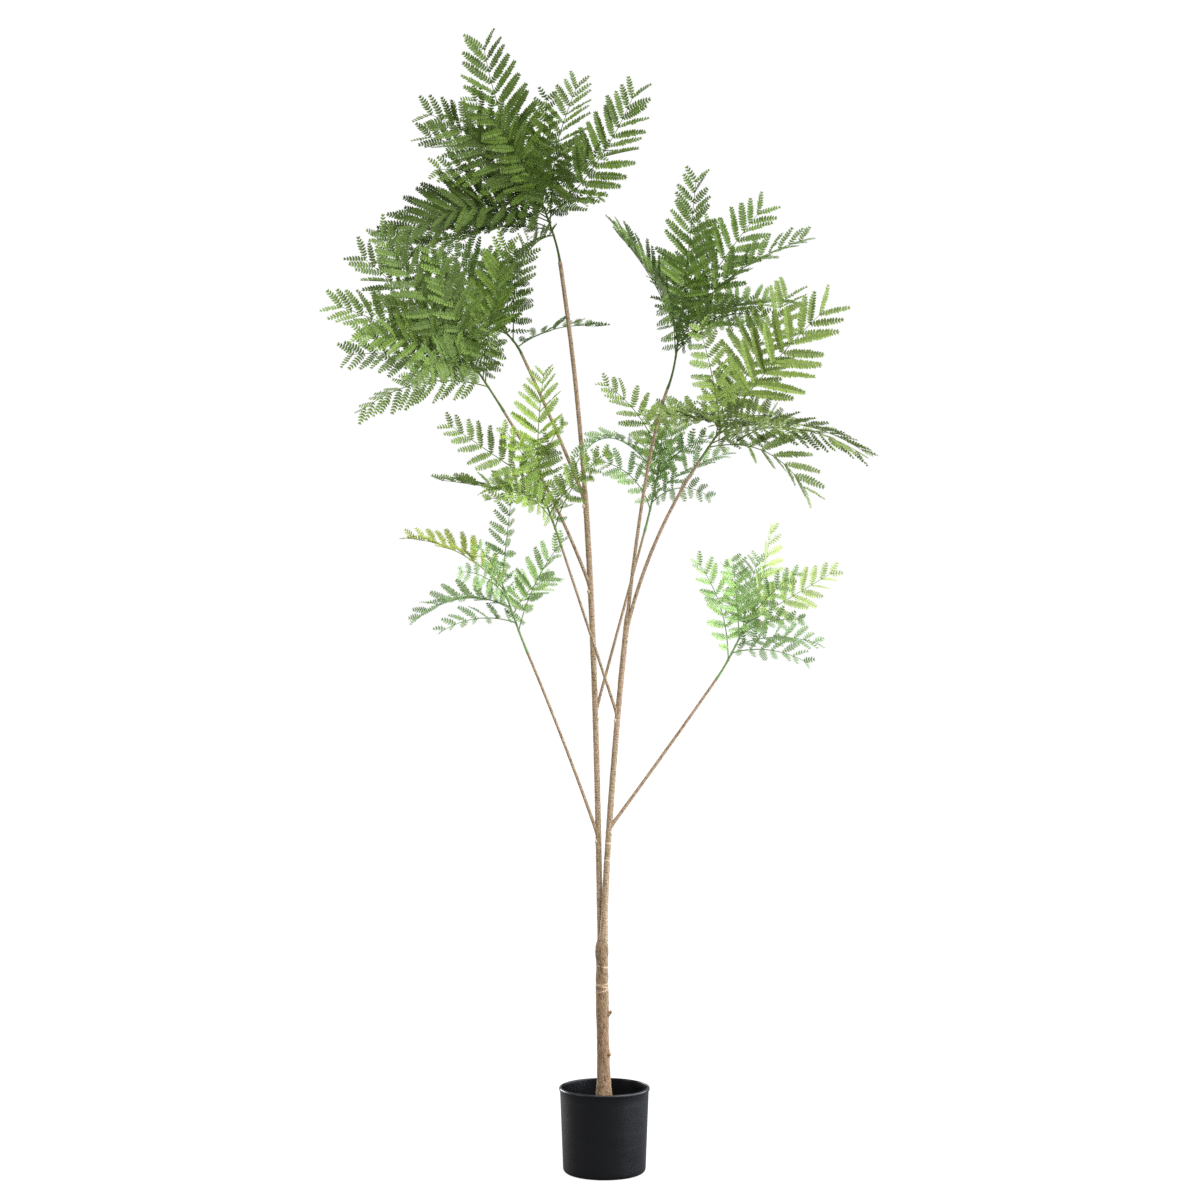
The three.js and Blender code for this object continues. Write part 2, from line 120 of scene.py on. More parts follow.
# Stubs of cut twigs on the trunk
STUBS = [
    {"height": 181, "clock": 60, "lean": 25, "length": 15.5, "radius": 3.0},
    {"height": 238, "clock": 42, "lean": 10, "length": 22.5, "radius": 2.6},
]
STUB_SIDES = 16
STUB_TAPER = 0.2
STUB_COLLAR = 0.5
STUB_COLLAR_REACH = 3
STUB_END = 0.8
STUB_ROUGHNESS = 0.25
STUB_LUMP_SIZE = 2
STUB_CUT_DEPTH = 1.5
STUB_CUT_SCAR = 0.6

# The two stems as curves from the trunk's top. The radii are at the foot, under and over the fork where
# a bough leaves at that share of the length, and at the tip; the foot swells as well.
STEMS = {
    "left_stem": {
        "path": [[-6.5, 4, 366.3], [-15.8, 7, 940], [-31, 2, 1170], [-70, 0, 1434]],
        "radii": [4.7, 4.5, 3.5, 3.3],
        "fork": 0.65,
        "swelling": 0,
        "pale_rings": [],
    },
    "right_stem": {
        "path": [[-1, -2.5, 366.3], [0, -2.5, 480], [39.3, -8, 1080], [100, -8, 1235]],
        "radii": [5.0, 4.4, 2.9, 2.3],
        "fork": 0.575,
        "swelling": 2.2,
        "pale_rings": [491, 518],
    },
}
STEM_SIDES = 20
STEM_SUNK = 14
SUNK_TAPER = 0.45
FORK_STEP = 0.02
SWELLING_SHARE = 0.036
# How far the painted shade reaches from the seam where the two stems touch
SEAM_SHADE_REACH = 1.8
LIMB_STEP = 3.0

# Boughs: the stem each one leaves, the height it leaves at, its tip, how far it bows upwards, and its
# radii at the stem and at the tip
Bough = namedtuple("Bough", "stem height tip bow radii")
BOUGHS = {
    "low_left_bough": Bough("left_stem", 527, [-121.5, -15, 820], 2.6, [2.7, 2.1]),
    "low_right_bough": Bough("right_stem", 541, [176, -25, 778], -1, [2.9, 2.2]),
    "middle_left_bough": Bough("right_stem", 718, [-67, -60, 985], 0, [2.5, 1.9]),
    "middle_right_bough": Bough("left_stem", 722, [65, 45, 1013], 0, [2.5, 1.9]),
    "outer_left_bough": Bough("left_stem", 921, [-157, -70, 1195], 8.5, [2.8, 2.1]),
    "upper_left_bough": Bough("left_stem", 1056, [-132, 25, 1293], 2, [3.1, 2.3]),
    "outer_right_bough": Bough("right_stem", 845, [149, -45, 1119], 14.5, [3.1, 2.3]),
}
BOUGH_SIDES = 14
BOUGH_SWELLING = 1.5
BOUGH_SWELLING_LENGTH = 9

# Knots: pale scars on the stem just under each bough, on the side that it leaves and to the front
KNOT_BELOW = 7
KNOT_SIZE = 2.6
KNOT_TALLER = 1.35
KNOT_ROUGHNESS = 0.22
KNOT_LUMP_SIZE = 1.6
KNOT_SIDEWAYS = 0.75
KNOT_FORWARD = 0.55

# Tape wound round stems and boughs: distance between turns, the step at its edge, and its roughness,
# which are full on a limb of TAPE_FULL_RADIUS and smaller or larger within limits on others
TAPE_PITCH = 4.2
TAPE_STEP = 0.3
TAPE_ROUGHNESS = 0.22
TAPE_LUMP_SIZE = (5, 5, 8)
TAPE_GRAIN_SIZE = (2, 2, 3)
TAPE_GRAIN = 0.7
TAPE_WANDER = 0.25
TAPE_WANDER_SIZE = 30
TAPE_FULL_RADIUS = 4
TAPE_RELIEF_LIMITS = (0.5, 1.2)
# The shades below are painted shade at the step between turns of tape and in the low spots of its roughness
TAPE_EDGE_SHADE = 0.75
TAPE_EDGE_FADE = 2.2
TAPE_ROUGH_SHADE = 0.5
RINGS_PER_TURN = 5
PALE_RING_RELIEF = 0.3
PALE_RING_REACH = 1.2
PALE_RING_SCAR = 0.9

# Sizes of a spray's fronds: the distance between pairs of pinnae (the side ribs), the longest pinna as a
# share of the frond, what the last one loses of that, the degrees that the blade is folded, and the
# distance between leaflets and their half width as a share of their length
FrondSize = namedtuple(
    "FrondSize", "pair_pitch pinna_share end_loss fold leaflet_pitch leaflet_half_width")
LARGE = FrondSize(17.5, 0.28, 0.48, 20, 3.9, 0.25)
OPEN = FrondSize(20, 0.34, 0.42, 18, 3.9, 0.262)
SMALL = FrondSize(17.5, 0.295, 0.54, 26, 3.5, 0.225)

# Sprays. Each stands on a limb's tip with a green stalk [length, clock, lean], and carries fronds
# [clock, lean, length, arch, face] listed upwards from the share `first` of the stalk to its end.
#   clock  direction in the front view, in degrees clockwise from straight up
#   lean   degrees towards the viewer
#   arch   how far the rachis bows upwards, as a share of its length
#   face   degrees that the blade is turned up, or down if negative, from showing its full width
# A sixth number is the spread, the length of the frond's pinnae against the usual, where it differs.
# The inner fronds are finer growth between them, each after the share of the stalk that it leaves at.
Spray = namedtuple("Spray", "limb stalk first size tint slot fronds inner")
SPRAYS = {
    "top_spray": Spray(
        "left_stem", [119, -17, 0], 0.36, LARGE, "deep", "dark_foliage",
        fronds=[
            [-146, 52, 158, 0.1, 75], [-103, 8, 240, 0.1, 56], [10, 62, 205, 0.12, 10],
            [34, -8, 240, -0.05, 10], [-98, -12, 258, 0.155, 20], [-52, 15, 228, 0.08, 10],
            [15, -20, 214, 0.03, 12], [-15, -60, 210, 0.1, 0], [-21, 3, 238, -0.05, 5, 1.1],
        ],
        inner=[
            [0.45, -92, 5, 235, 0.12, 30], [0.55, -96, 20, 215, 0.13, 35], [0.6, -80, -25, 185, 0.12, 20],
            [0.65, 75, 20, 90, 0.1, 25], [0.75, -72, 15, 175, 0.1, 15], [0.8, -58, -10, 215, 0.08, 15],
            [0.8, 52, 20, 130, 0.06, 15], [0.85, -44, -15, 205, 0.06, 15], [0.9, -36, 25, 185, 0.06, 12],
            [0.92, 5, 20, 150, 0.03, 15],
        ],
    ),
    "upper_left_spray": Spray(
        "upper_left_bough", [75, -40, 0], 0.15, LARGE, "moss", "olive_foliage",
        fronds=[
            [73, -20, 138, 0.09, 74, 1.1], [4, 45, 150, 0.1, 15], [-85, -35, 225, 0.1, 20],
            [-58, -10, 220, 0.06, 20], [-38, 40, 185, 0.08, 15], [-4, -50, 185, 0.1, 10],
        ],
        inner=[
            [0.45, -70, 20, 165, 0.1, 20], [0.5, -25, 15, 165, 0.06, 15], [0.6, 14, -15, 160, 0.06, 12],
        ],
    ),
    "outer_left_spray": Spray(
        "outer_left_bough", [95, -33, 8], 0.45, LARGE, "olive", "olive_foliage",
        fronds=[
            [-101, 12, 194, 0.12, -50, 0.8], [9, 10, 208, 0.05, 30], [15, 66, 150, 0.1, 10],
            [-100, 58, 180, 0.12, 15], [-84, 18, 198, 0.06, 15], [-66, 5, 224, 0.02, 10],
            [-46, 2, 230, 0.02, 12], [-36, 18, 230, 0, 25],
        ],
        inner=[
            [0.7, 15, 15, 120, 0.06, 20], [0.75, -84, 15, 130, 0.1, 15], [0.8, -75, 25, 190, 0.06, 12],
            [0.85, -56, -20, 200, 0.05, 12], [0.9, -20, 15, 180, 0.04, 15],
        ],
    ),
    "upper_right_spray": Spray(
        "right_stem", [112, 11, 0], 0.45, LARGE, "moss", "olive_foliage",
        fronds=[
            [-12, 66, 195, 0.12, 10, 0.7], [72, 48, 195, 0.12, 25, 0.75], [62, -35, 235, 0.1, 45],
            [-27, -12, 215, 0.09, 86, 0.9], [-31, 22, 182, 0.06, 84, 0.9], [53, 8, 236, 0.09, 56, 0.85],
            [34, -5, 222, 0.02, 10, 1.1], [-8, -55, 215, 0.1, 5], [6, 5, 216, 0, 12, 0.9],
        ],
        inner=[
            [0.65, 78, 20, 115, 0.1, 60], [0.7, -30, 4, 185, 0.07, 80, 0.8], [0.85, 72, 10, 130, 0.05, 66],
            [0.9, 16, -12, 170, 0.03, 15],
        ],
    ),
    "outer_right_spray": Spray(
        "outer_right_bough", [80, 34, 5], 0.3, OPEN, "leafy", "mid_foliage",
        fronds=[
            [114, 15, 163, 0.17, 56, 1.2], [94, 18, 230, 0.13, -74, 0.6], [82, 58, 195, 0.12, 15, 0.6],
            [25, -58, 205, 0.1, 5, 0.8], [96, -12, 236, 0.12, 88, 0.55], [-14, 32, 176, 0.06, 20, 0.8],
            [41, 5, 226, 0.02, 8], [-88, 20, 128, 0.03, 56, 0.7], [26, -18, 228, 0.02, 15, 0.9],
        ],
        inner=[
            [0.6, 88, 10, 130, 0.1, 60, 0.6], [0.75, -68, -10, 95, 0.08, 40], [0.9, -98, 30, 112, 0.06, 60],
            [0.92, -86, 14, 122, 0.02, 44, 0.65],
        ],
    ),
    "middle_left_spray": Spray(
        "middle_left_bough", [114, -20, 0], 0.25, SMALL, "fresh", "light_foliage",
        fronds=[
            [34, 15, 138, 0.1, 30], [-58, 52, 128, 0.1, 25], [48, 34, 100, 0.1, 30],
            [-70, -48, 150, 0.12, 20], [-79, 0, 160, 0.02, 76], [-10, 58, 145, 0.12, 15],
            [-56, 8, 164, 0, 12], [3, -22, 180, 0.09, 12],
        ],
        inner=[
            [0.6, -85, 20, 90, 0.06, 50], [0.7, -30, 15, 120, 0.05, 20], [0.9, 22, 15, 100, 0.08, 20],
        ],
    ),
    "low_left_spray": Spray(
        "low_left_bough", [118, -20, 5], 0.3, SMALL, "pale", "light_foliage",
        fronds=[
            [26, 10, 155, 0.06, 40], [-95, 28, 122, 0.1, 60], [45, -50, 130, 0.1, 20],
            [-96, -10, 146, 0.145, 62, 1.1], [-58, 50, 122, 0.1, 20], [-60, -5, 166, 0.1, 66],
            [7, 20, 146, 0, 36, 0.85],
        ],
        inner=[[0.6, -80, 20, 95, 0.1, 70], [0.75, -28, 20, 95, 0.06, 25]],
    ),
    "middle_right_spray": Spray(
        "middle_right_bough", [113, 13, 0], 0.3, SMALL, "pale", "light_foliage",
        fronds=[
            [-51, 5, 126, 0.17, 20], [84, 42, 114, 0.15, 30], [59, -18, 140, 0.06, 45],
            [-10, -55, 150, 0.1, 10], [23, -15, 136, 0.05, 20], [-100, 28, 170, 0.42, 76, 0.55],
            [58, 0, 94, 0.06, 30], [-34, -5, 150, 0.09, 15],
        ],
        inner=[[0.7, 45, 20, 105, 0.08, 25], [0.8, 10, 15, 115, 0.06, 20]],
    ),
    "low_right_spray": Spray(
        "low_right_bough", [114, 28, 5], 0.3, SMALL, "pale", "light_foliage",
        fronds=[
            [-17, 10, 158, 0.09, 25], [96, 25, 120, 0.09, 45], [88, -18, 132, 0.08, 42],
            [-7, 35, 148, 0.06, 18], [15, -40, 150, 0.06, 15], [59, 5, 152, 0, 15],
            [14, -6, 135, -0.03, -48],
        ],
        inner=[
            [0.7, 75, 20, 95, 0.08, 25], [0.8, 42, 15, 115, 0.05, 20], [0.85, -18, -15, 95, 0.05, 20],
        ],
    ),
}
LAST_FROND_AT = 0.97
STALK_RADII = [1.9, 1.2]
STALK_SUNK = 3
STALK_SHEATH = 0.55
STALK_SHEATH_LENGTH = 7
STALK_KNUCKLE = 0.45
STALK_KNUCKLE_REACH = 2.2

# Fronds: a rachis with pairs of pinnae. A name with DRIFT is the spread of a random change, and a pair
# of numbers for lengths, droops or curls is the limits of a random share. SWEEPS are the degrees from
# the rachis to its first and last pinnae.
BARE_SHARE = 0.1
RACHIS_RADII = [1.05, 0.45]
PAIR_DRIFT = 0.008
SWEEPS = (74, 38)
SWEEP_DRIFT = 4
FOLD_DRIFT = 7
PINNA_LENGTHS = (0.93, 1.03)
PINNA_SHAPE = {"peak_at": 0.33, "root_loss": 0.35, "root_power": 1.5, "tip_power": 1.4}
PINNA_DROOP = 0.06
PINNA_DROOPS = (0.4, 1.6)
PINNA_CURL = 0.07
PINNA_CURLS = (0.2, 1.6)
PINNA_ROLL_DRIFT = 19
PINNA_RADII = [0.5, 0.25]
PINNA_RIB_END = 0.98

# A pinna stops short of any wood or stalk in its way, and isn't grown if little of it is left
CLEARANCE = 0.6
CLEAR_FROM = 0.15
LEAST_REACH = 0.3

# Leaflets: pairs along each pinna, and one at its end
LEAFLETS_FROM = 0.05
LEAFLETS_TO = 0.95
LEAST_PAIRS = 5
LEAFLET_SHORTEST = 5.4
LEAFLET_SHARE = 0.05
LEAFLET_LENGTHS = (0.92, 1.05)
LEAFLET_SIZES = {
    "peak_at": 0.4, "root_loss": 0.38, "root_power": 1.6, "tip_loss": 0.42, "tip_power": 2.6,
}
LEAFLET_SWEEP = 66
LEAFLET_SWEEP_LOSS = 22
LEAFLET_SWEEP_DRIFT = 3
LEAFLET_LIFT = 16
PINNA_LIFT_DRIFT = 9
LEAFLET_LIFT_DRIFT = 5
END_LEAFLET_AT = 0.97
END_LEAFLET_SHARE = 0.5

# One leaflet as (share of its length, share of its half width, share of its half width upwards): its
# rim from the root round to the tip and back, then a point on its midrib
LEAFLET_SHAPE = np.array([
    (0.0, 0.0, 0.0), (0.06, 1.0, 0.1), (0.5, 1.0, 0.16), (0.86, 0.62, 0.05), (1.0, 0.0, -0.1),
    (0.86, -0.62, 0.05), (0.5, -1.0, 0.16), (0.06, -1.0, 0.1), (0.5, 0.0, -0.12),
])
LEAFLET_FACES = np.array([[8, k, (k + 1) % 8] for k in range(8)])

# Colours as shown on a display, from 0 to 255
POT_BLACK = (7, 8, 11)
FILL_DARK = (24, 22, 20)
FILL_PALE = (66, 58, 50)
TRUNK_BARK = {
    "tan": (121, 93, 69), "brown": (52, 32, 21), "olive": (122, 106, 80), "pale": (200, 174, 145),
}
WRAPPING = {
    "tan": (162, 137, 113), "brown": (82, 57, 40), "olive": (142, 130, 96), "pale": (208, 187, 162),
}

# Leaf colours, and how the shades of each, from dark to light, are dealt out. The lighter shades are
# yellower, because their blue is cut. Fronds that rise more steeply than RISE_FOR_LIGHT are a shade
# lighter, as painted light from above, those that rise less than RISE_FOR_DARK a shade darker, as
# painted shade, and each frond and each pinna may drift by one more at random.
TINTS = {
    "deep": (85, 108, 42),
    "moss": (96, 121, 56),
    "olive": (112, 137, 66),
    "leafy": (127, 148, 77),
    "fresh": (138, 164, 77),
    "pale": (145, 176, 112),
    "lime": (164, 180, 74),
    "straw": (177, 198, 120),
}
SHADES = [0.7, 0.85, 1.0, 1.16, 1.32]
SHADE_BLUE = [1.15, 1.08, 1.0, 0.9, 0.82]
MIDDLE_SHADE = 2
SHADE_DRIFT = [-1, 0, 1]
FROND_DRIFT_ODDS = [0.25, 0.6, 0.15]
PINNA_DRIFT_ODDS = [0.12, 0.76, 0.12]
RISE_FOR_LIGHT = 0.8
RISE_FOR_DARK = 0.2
RIB_SHADE = 0.62

# Sprays with some fronds, given by their number, in another tint
SECOND_TINTS = {
    "outer_left_spray": ("fresh", [0]),
    "low_left_spray": ("lime", [5]),
    "low_right_spray": ("straw", [5, 6]),
    "middle_right_spray": ("fresh", [7]),
}

# Studio: soft light all round and from overhead, four area lights, and a floor that looks as pale as
# what is behind it
ROOM_LIGHT = 0.55
OVERHEAD_LIGHT = 3.5
OVERHEAD_SPREAD = 70
OVERHEAD_TILT = 22
OVERHEAD_TURN = 35
AreaLight = namedtuple("AreaLight", "place target size power colour")
AREA_LIGHTS = {
    "key": AreaLight((2.4, -2.6, 2.2), (0, 0, 0.9), (1.4, 1.8), 85, (1, 1, 1)),
    "fill": AreaLight((-3.2, -1.4, 1.2), (0, 0, 0.7), (1.0, 2.0), 22, (1, 1, 1)),
    "side": AreaLight((1.6, 0, 0.4), (0, 0, 0.1), (2.6, 0.75), 58, (0.82, 0.9, 1)),
    "rim": AreaLight((-1.3, 1.0, 0.35), (0, 0, 0.1), (0.9, 0.65), 31, (1, 1, 1)),
}
FLOOR_REACH = 30.0
FLOOR_GREY = 0.12
FLOOR_LIFT = 0.9

# Camera of the front view
CAMERA_PLACE = (-0.0069, -3.81, 0.901)
CAMERA_LENS = 72.5
CAMERA_SENSOR = 36


def unit(vectors):
    return vectors / np.linalg.norm(vectors, axis=-1, keepdims=True)


def column(numbers):
    """Numbers set out so that each of them multiplies a whole vector."""
    return np.asarray(numbers, float)[..., None]


def square_to(vectors, axes):
    """The part of each vector that is square to its axis, made a unit vector."""
    along = np.sum(vectors * axes, axis=-1, keepdims=True)
    return unit(vectors - along * axes)


def direction(clock, lean):
    """A heading by its degrees clockwise from straight up, and its degrees towards the viewer."""
    turn = math.radians(clock)
    tilt = math.radians(lean)
    return np.array([
        math.sin(turn) * math.cos(tilt),
        -math.sin(tilt),
        math.cos(turn) * math.cos(tilt),
    ])


def linear(red, green, blue):
    """A display colour from 0 to 255 as the linear values that shaders take."""
    shares = np.array([red, green, blue]) / 255
    low = shares / 12.92
    high = ((shares + 0.055) / 1.055) ** 2.4
    return tuple(np.where(shares <= 0.04045, low, high).tolist())


def lumps(points, size, seed):
    """Smooth noise from about -1 to 1, with lumps of one size or of sizes along X, Y and Z."""
    shifted = points / np.asarray(size, float) + 31.7 * seed
    return np.array([noise.noise(p) for p in shifted.tolist()])


def near(lengths, targets, reach):
    """1 at any of the targets, falling to 0 within about twice the reach."""
    if not targets:
        return np.zeros_like(lengths)
    gaps = np.min(np.abs(lengths[:, None] - np.array(targets)), axis=1)
    return np.exp(-(gaps / reach) ** 2)


def taper(ends, share):
    """A measure that goes evenly from the first to the last of two ends."""
    first, last = ends
    return first + (last - first) * share


def peaked(share, peak_at, root_loss, root_power, tip_loss, tip_power):
    """1 at the peak, with root_loss taken away towards a share of 0 and tip_loss towards 1."""
    before = np.clip((peak_at - share) / peak_at, 0, None)
    after = np.clip((share - peak_at) / (1 - peak_at), 0, None)
    return 1 - root_loss * before ** root_power - tip_loss * after ** tip_power


class Cubic:
    """A cubic curve through four handles, read by its own parameter or by share of its length."""

    def __init__(self, handles):
        self.handles = np.array(handles, float)
        self.parameters = np.linspace(0, 1, 401)
        steps = np.diff(self.at(self.parameters), axis=0)
        self.travelled = np.concatenate([[0], np.cumsum(np.linalg.norm(steps, axis=1))])
        self.length = self.travelled[-1]

    def at(self, t):
        t = column(t)
        a, b, c, d = self.handles
        return (1 - t) ** 3 * a + 3 * (1 - t) ** 2 * t * b + 3 * (1 - t) * t ** 2 * c + t ** 3 * d

    def tangent(self, t):
        t = column(t)
        a, b, c, d = self.handles
        return unit((1 - t) ** 2 * (b - a) + 2 * (1 - t) * t * (c - b) + t ** 2 * (d - c))

    def by_length(self, share):
        return np.interp(np.asarray(share) * self.length, self.travelled, self.parameters)

    def by_height(self, height):
        return np.interp(height, self.at(self.parameters)[:, 2], self.parameters)

    def stations(self, sunk, count):
        """Lengths from a little below the root to the tip, with the points and directions there."""
        travelled = np.linspace(-sunk, self.length, count)
        t = self.by_length(np.clip(travelled, 0, None) / self.length)
        tangents = self.tangent(t)
        return travelled, self.at(t) + np.minimum(travelled, 0)[:, None] * tangents, tangents


class Skin:
    """Surfaces gathered into one mesh, each with a material number and values for each vertex."""

    def __init__(self):
        self.vertices = []
        self.faces = []
        self.materials = []
        self.values = {}
        self.count = 0

    def add(self, vertices, faces, material=0, **values):
        self.faces += [[i + self.count for i in face] for face in faces]
        self.materials.append(np.broadcast_to(material, len(faces)))
        self.vertices.append(vertices)
        for name, numbers in values.items():
            self.values.setdefault(name, []).append(np.broadcast_to(numbers, len(vertices)))
        self.count += len(vertices)

    def mesh(self, name):
        mesh = bpy.data.meshes.new(name)
        mesh.from_pydata((np.concatenate(self.vertices) * MM).tolist(), [], self.faces)
        mesh.polygons.foreach_set("use_smooth", np.ones(len(self.faces), bool))
        mesh.polygons.foreach_set("material_index", np.concatenate(self.materials).astype(np.int32))
        for label, numbers in self.values.items():
            attribute = mesh.attributes.new(label, "FLOAT", "POINT")
            attribute.data.foreach_set("value", np.concatenate(numbers).astype(np.float32))
        mesh.update()
        return mesh


def ring_quads(rings, sides):
    """The vertices of rings and the next ones round, by number, and the faces between the rings."""
    numbers = np.arange(rings * sides).reshape(rings, sides)
    ahead = np.roll(numbers, -1, axis=1)
    quads = np.stack([numbers[:-1], ahead[:-1], ahead[1:], numbers[1:]], axis=-1)
    return numbers, ahead, quads.reshape(-1, 4).tolist()


def tube(centres, tangents, radii, sides, reference=VIEWER):
    """A closed round limb, with a ring of vertices round each centre."""
    across = square_to(np.broadcast_to(reference, tangents.shape), tangents)
    onward = np.cross(tangents, across)
    angles = np.arange(sides) * 2 * math.pi / sides
    spokes = across[:, None] * np.cos(angles)[:, None] + onward[:, None] * np.sin(angles)[:, None]
    vertices = (centres[:, None] + radii[:, None, None] * spokes).reshape(-1, 3)
    numbers, _, quads = ring_quads(len(radii), sides)
    caps = [numbers[0][::-1].tolist(), numbers[-1].tolist()]
    return vertices, quads + caps


def turned(profile, segments):
    """A closed body turned about Z from (radius, height) points that start and end on the axis."""
    angles = np.arange(segments) * 2 * math.pi / segments
    body = np.array(profile[1:-1], float)
    rings = np.stack([
        body[:, :1] * np.cos(angles),
        body[:, :1] * np.sin(angles),
        np.repeat(body[:, 1:], segments, axis=1),
    ], axis=-1)
    ends = np.array([[0, 0, profile[0][1]], [0, 0, profile[-1][1]]], float)
    vertices = np.concatenate([rings.reshape(-1, 3), ends])
    numbers, ahead, quads = ring_quads(len(body), segments)
    first = len(vertices) - 2
    last = first + 1
    fans = [[first, ahead[0, k], numbers[0, k]] for k in range(segments)]
    fans += [[last, numbers[-1, k], ahead[-1, k]] for k in range(segments)]
    return vertices, quads + fans


def arc(centre, radius, start, end, steps):
    """Points on an arc in (radius, height), by angles in degrees from the outward direction."""
    angles = np.radians(np.linspace(start, end, steps + 1))
    return [(centre[0] + radius * math.cos(a), centre[1] + radius * math.sin(a)) for a in angles]


def new_object(name, data):
    thing = bpy.data.objects.new(name, data)
    bpy.context.scene.collection.objects.link(thing)
    return thing


def add_piece(name, skin, materials, node):
    mesh = skin.mesh(name)
    for material in materials:
        mesh.materials.append(material)
    piece = new_object(name, mesh)
    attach(piece, "root")
    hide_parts(node)


# Materials

def set_inputs(node, **values):
    """Sets sockets by name; an underscore stands for a space."""
    for name, value in values.items():
        node.inputs[name.replace("_", " ")].default_value = value


class Shading:
    """A material with one shader, and short calls for the nodes that feed it."""

    def __init__(self, name, roughness, specular):
        self.material = bpy.data.materials.new(name)
        self.material.use_nodes = True
        self.nodes = self.material.node_tree.nodes
        self.links = self.material.node_tree.links
        self.shader = self.nodes["Principled BSDF"]
        set_inputs(self.shader, Roughness=roughness, Specular_IOR_Level=specular)

    def colour(self, colour):
        set_inputs(self.shader, Base_Color=(*colour, 1))

    def noise(self, scale, detail=4.0, roughness=0.6):
        coordinates = self.nodes.new("ShaderNodeTexCoord")
        mapping = self.nodes.new("ShaderNodeMapping")
        set_inputs(mapping, Scale=scale)
        self.links.new(coordinates.outputs["Object"], mapping.inputs["Vector"])
        texture = self.nodes.new("ShaderNodeTexNoise")
        set_inputs(texture, Scale=1.0, Detail=detail, Roughness=roughness)
        self.links.new(mapping.outputs["Vector"], texture.inputs["Vector"])
        return texture.outputs["Fac"]

    def value(self, label):
        """A number that the mesh holds for each vertex."""
        attribute = self.nodes.new("ShaderNodeAttribute")
        attribute.attribute_name = label
        return attribute.outputs["Fac"]

    def ramp(self, factor, low, high, first=0.0, last=1.0):
        """The factor stretched so that low gives first and high gives last."""
        spread = self.nodes.new("ShaderNodeMapRange")
        set_inputs(spread, From_Min=low, From_Max=high, To_Min=first, To_Max=last)
        self.links.new(factor, spread.inputs["Value"])
        return spread.outputs["Result"]

    def mix(self, factor, first, second):
        """Two colours mixed by a factor, in the node's colour sockets; each may be a node's output."""
        blend = self.nodes.new("ShaderNodeMix")
        blend.data_type = "RGBA"
        self.links.new(factor, blend.inputs["Factor"])
        for socket, colour in ((blend.inputs[6], first), (blend.inputs[7], second)):
            if isinstance(colour, tuple):
                socket.default_value = (*colour, 1)
            else:
                self.links.new(colour, socket)
        return blend.outputs[2]

    def bump(self, height, strength, distance):
        relief = self.nodes.new("ShaderNodeBump")
        set_inputs(relief, Strength=strength, Distance=distance)
        self.links.new(height, relief.inputs["Height"])
        self.links.new(relief.outputs["Normal"], self.shader.inputs["Normal"])

    def drive(self, socket, output):
        self.links.new(output, self.shader.inputs[socket])


def pot_material():
    shading = Shading("black_pot_plastic", roughness=0.3, specular=0.4)
    shading.colour(linear(*POT_BLACK))
    scuffs = shading.noise((18, 18, 45), detail=6.0, roughness=0.7)
    shading.drive("Roughness", shading.ramp(scuffs, 0.35, 0.75, first=0.26, last=0.34))
    shading.bump(scuffs, strength=0.03, distance=0.0004)
    return shading.material


def fill_material():
    shading = Shading("dark_cement_fill", roughness=0.95, specular=0.2)
    crumbs = shading.noise((260, 260, 260), detail=6.0, roughness=0.7)
    colour = shading.mix(shading.ramp(crumbs, 0.35, 0.7), linear(*FILL_DARK), linear(*FILL_PALE))
    shading.drive("Base Color", colour)
    shading.bump(crumbs, strength=0.6, distance=0.002)
    return shading.material


def bark_material(name, colours):
    """Papery bark: tan with olive patches, dark flecks, painted shade in its hollows and pale scars."""
    tan, brown, olive, pale = (linear(*colours[key]) for key in ("tan", "brown", "olive", "pale"))
    shading = Shading(name, roughness=0.85, specular=0.2)
    patches = shading.noise((16, 16, 7), detail=3.0)
    flecks = shading.noise((480, 480, 210), detail=5.0, roughness=0.7)
    fibres = shading.noise((900, 900, 60), detail=3.0)
    colour = shading.mix(shading.ramp(patches, 0.4, 0.65, last=0.7), tan, olive)
    colour = shading.mix(shading.ramp(fibres, 0.35, 0.7, last=0.3), colour, pale)
    colour = shading.mix(shading.ramp(flecks, 0.51, 0.63, last=0.8), colour, brown)
    # Brown laid over where the mesh holds painted shade: low spots of bark and tape, steps between turns of
    # tape, and the seam between the stems
    colour = shading.mix(shading.ramp(shading.value("hollow"), 0.15, 0.8, last=0.8), colour, brown)
    colour = shading.mix(shading.value("scar"), colour, pale)
    shading.drive("Base Color", colour)
    shading.bump(flecks, strength=0.4, distance=0.0006)
    return shading.material


def plain_green(name, colour):
    """Moulded green plastic with a fine grain."""
    shading = Shading(name, roughness=0.55, specular=0.2)
    shading.colour(colour)
    shading.bump(shading.noise((1500, 1500, 1500), detail=2.0), strength=0.1, distance=0.0003)
    return shading.material


def leaf_materials(tint):
    """Lit and shaded copies of one leaf colour, and last the darker green of its ribs."""
    red, green, blue = linear(*TINTS[tint])
    greens = [
        plain_green(f"leaf_{tint}_{k}", (red * shade, green * shade, blue * shade * bluer))
        for k, (shade, bluer) in enumerate(zip(SHADES, SHADE_BLUE))
    ]
    rib = tuple(RIB_SHADE * share for share in (red, green, blue))
    return [*greens, plain_green(f"rib_{tint}", rib)]


# Pot

def wall_radius(height):
    return taper((POT_BASE_RADIUS, POT_TOP_RADIUS), height / (POT_HEIGHT - POT_RIM_HEIGHT))


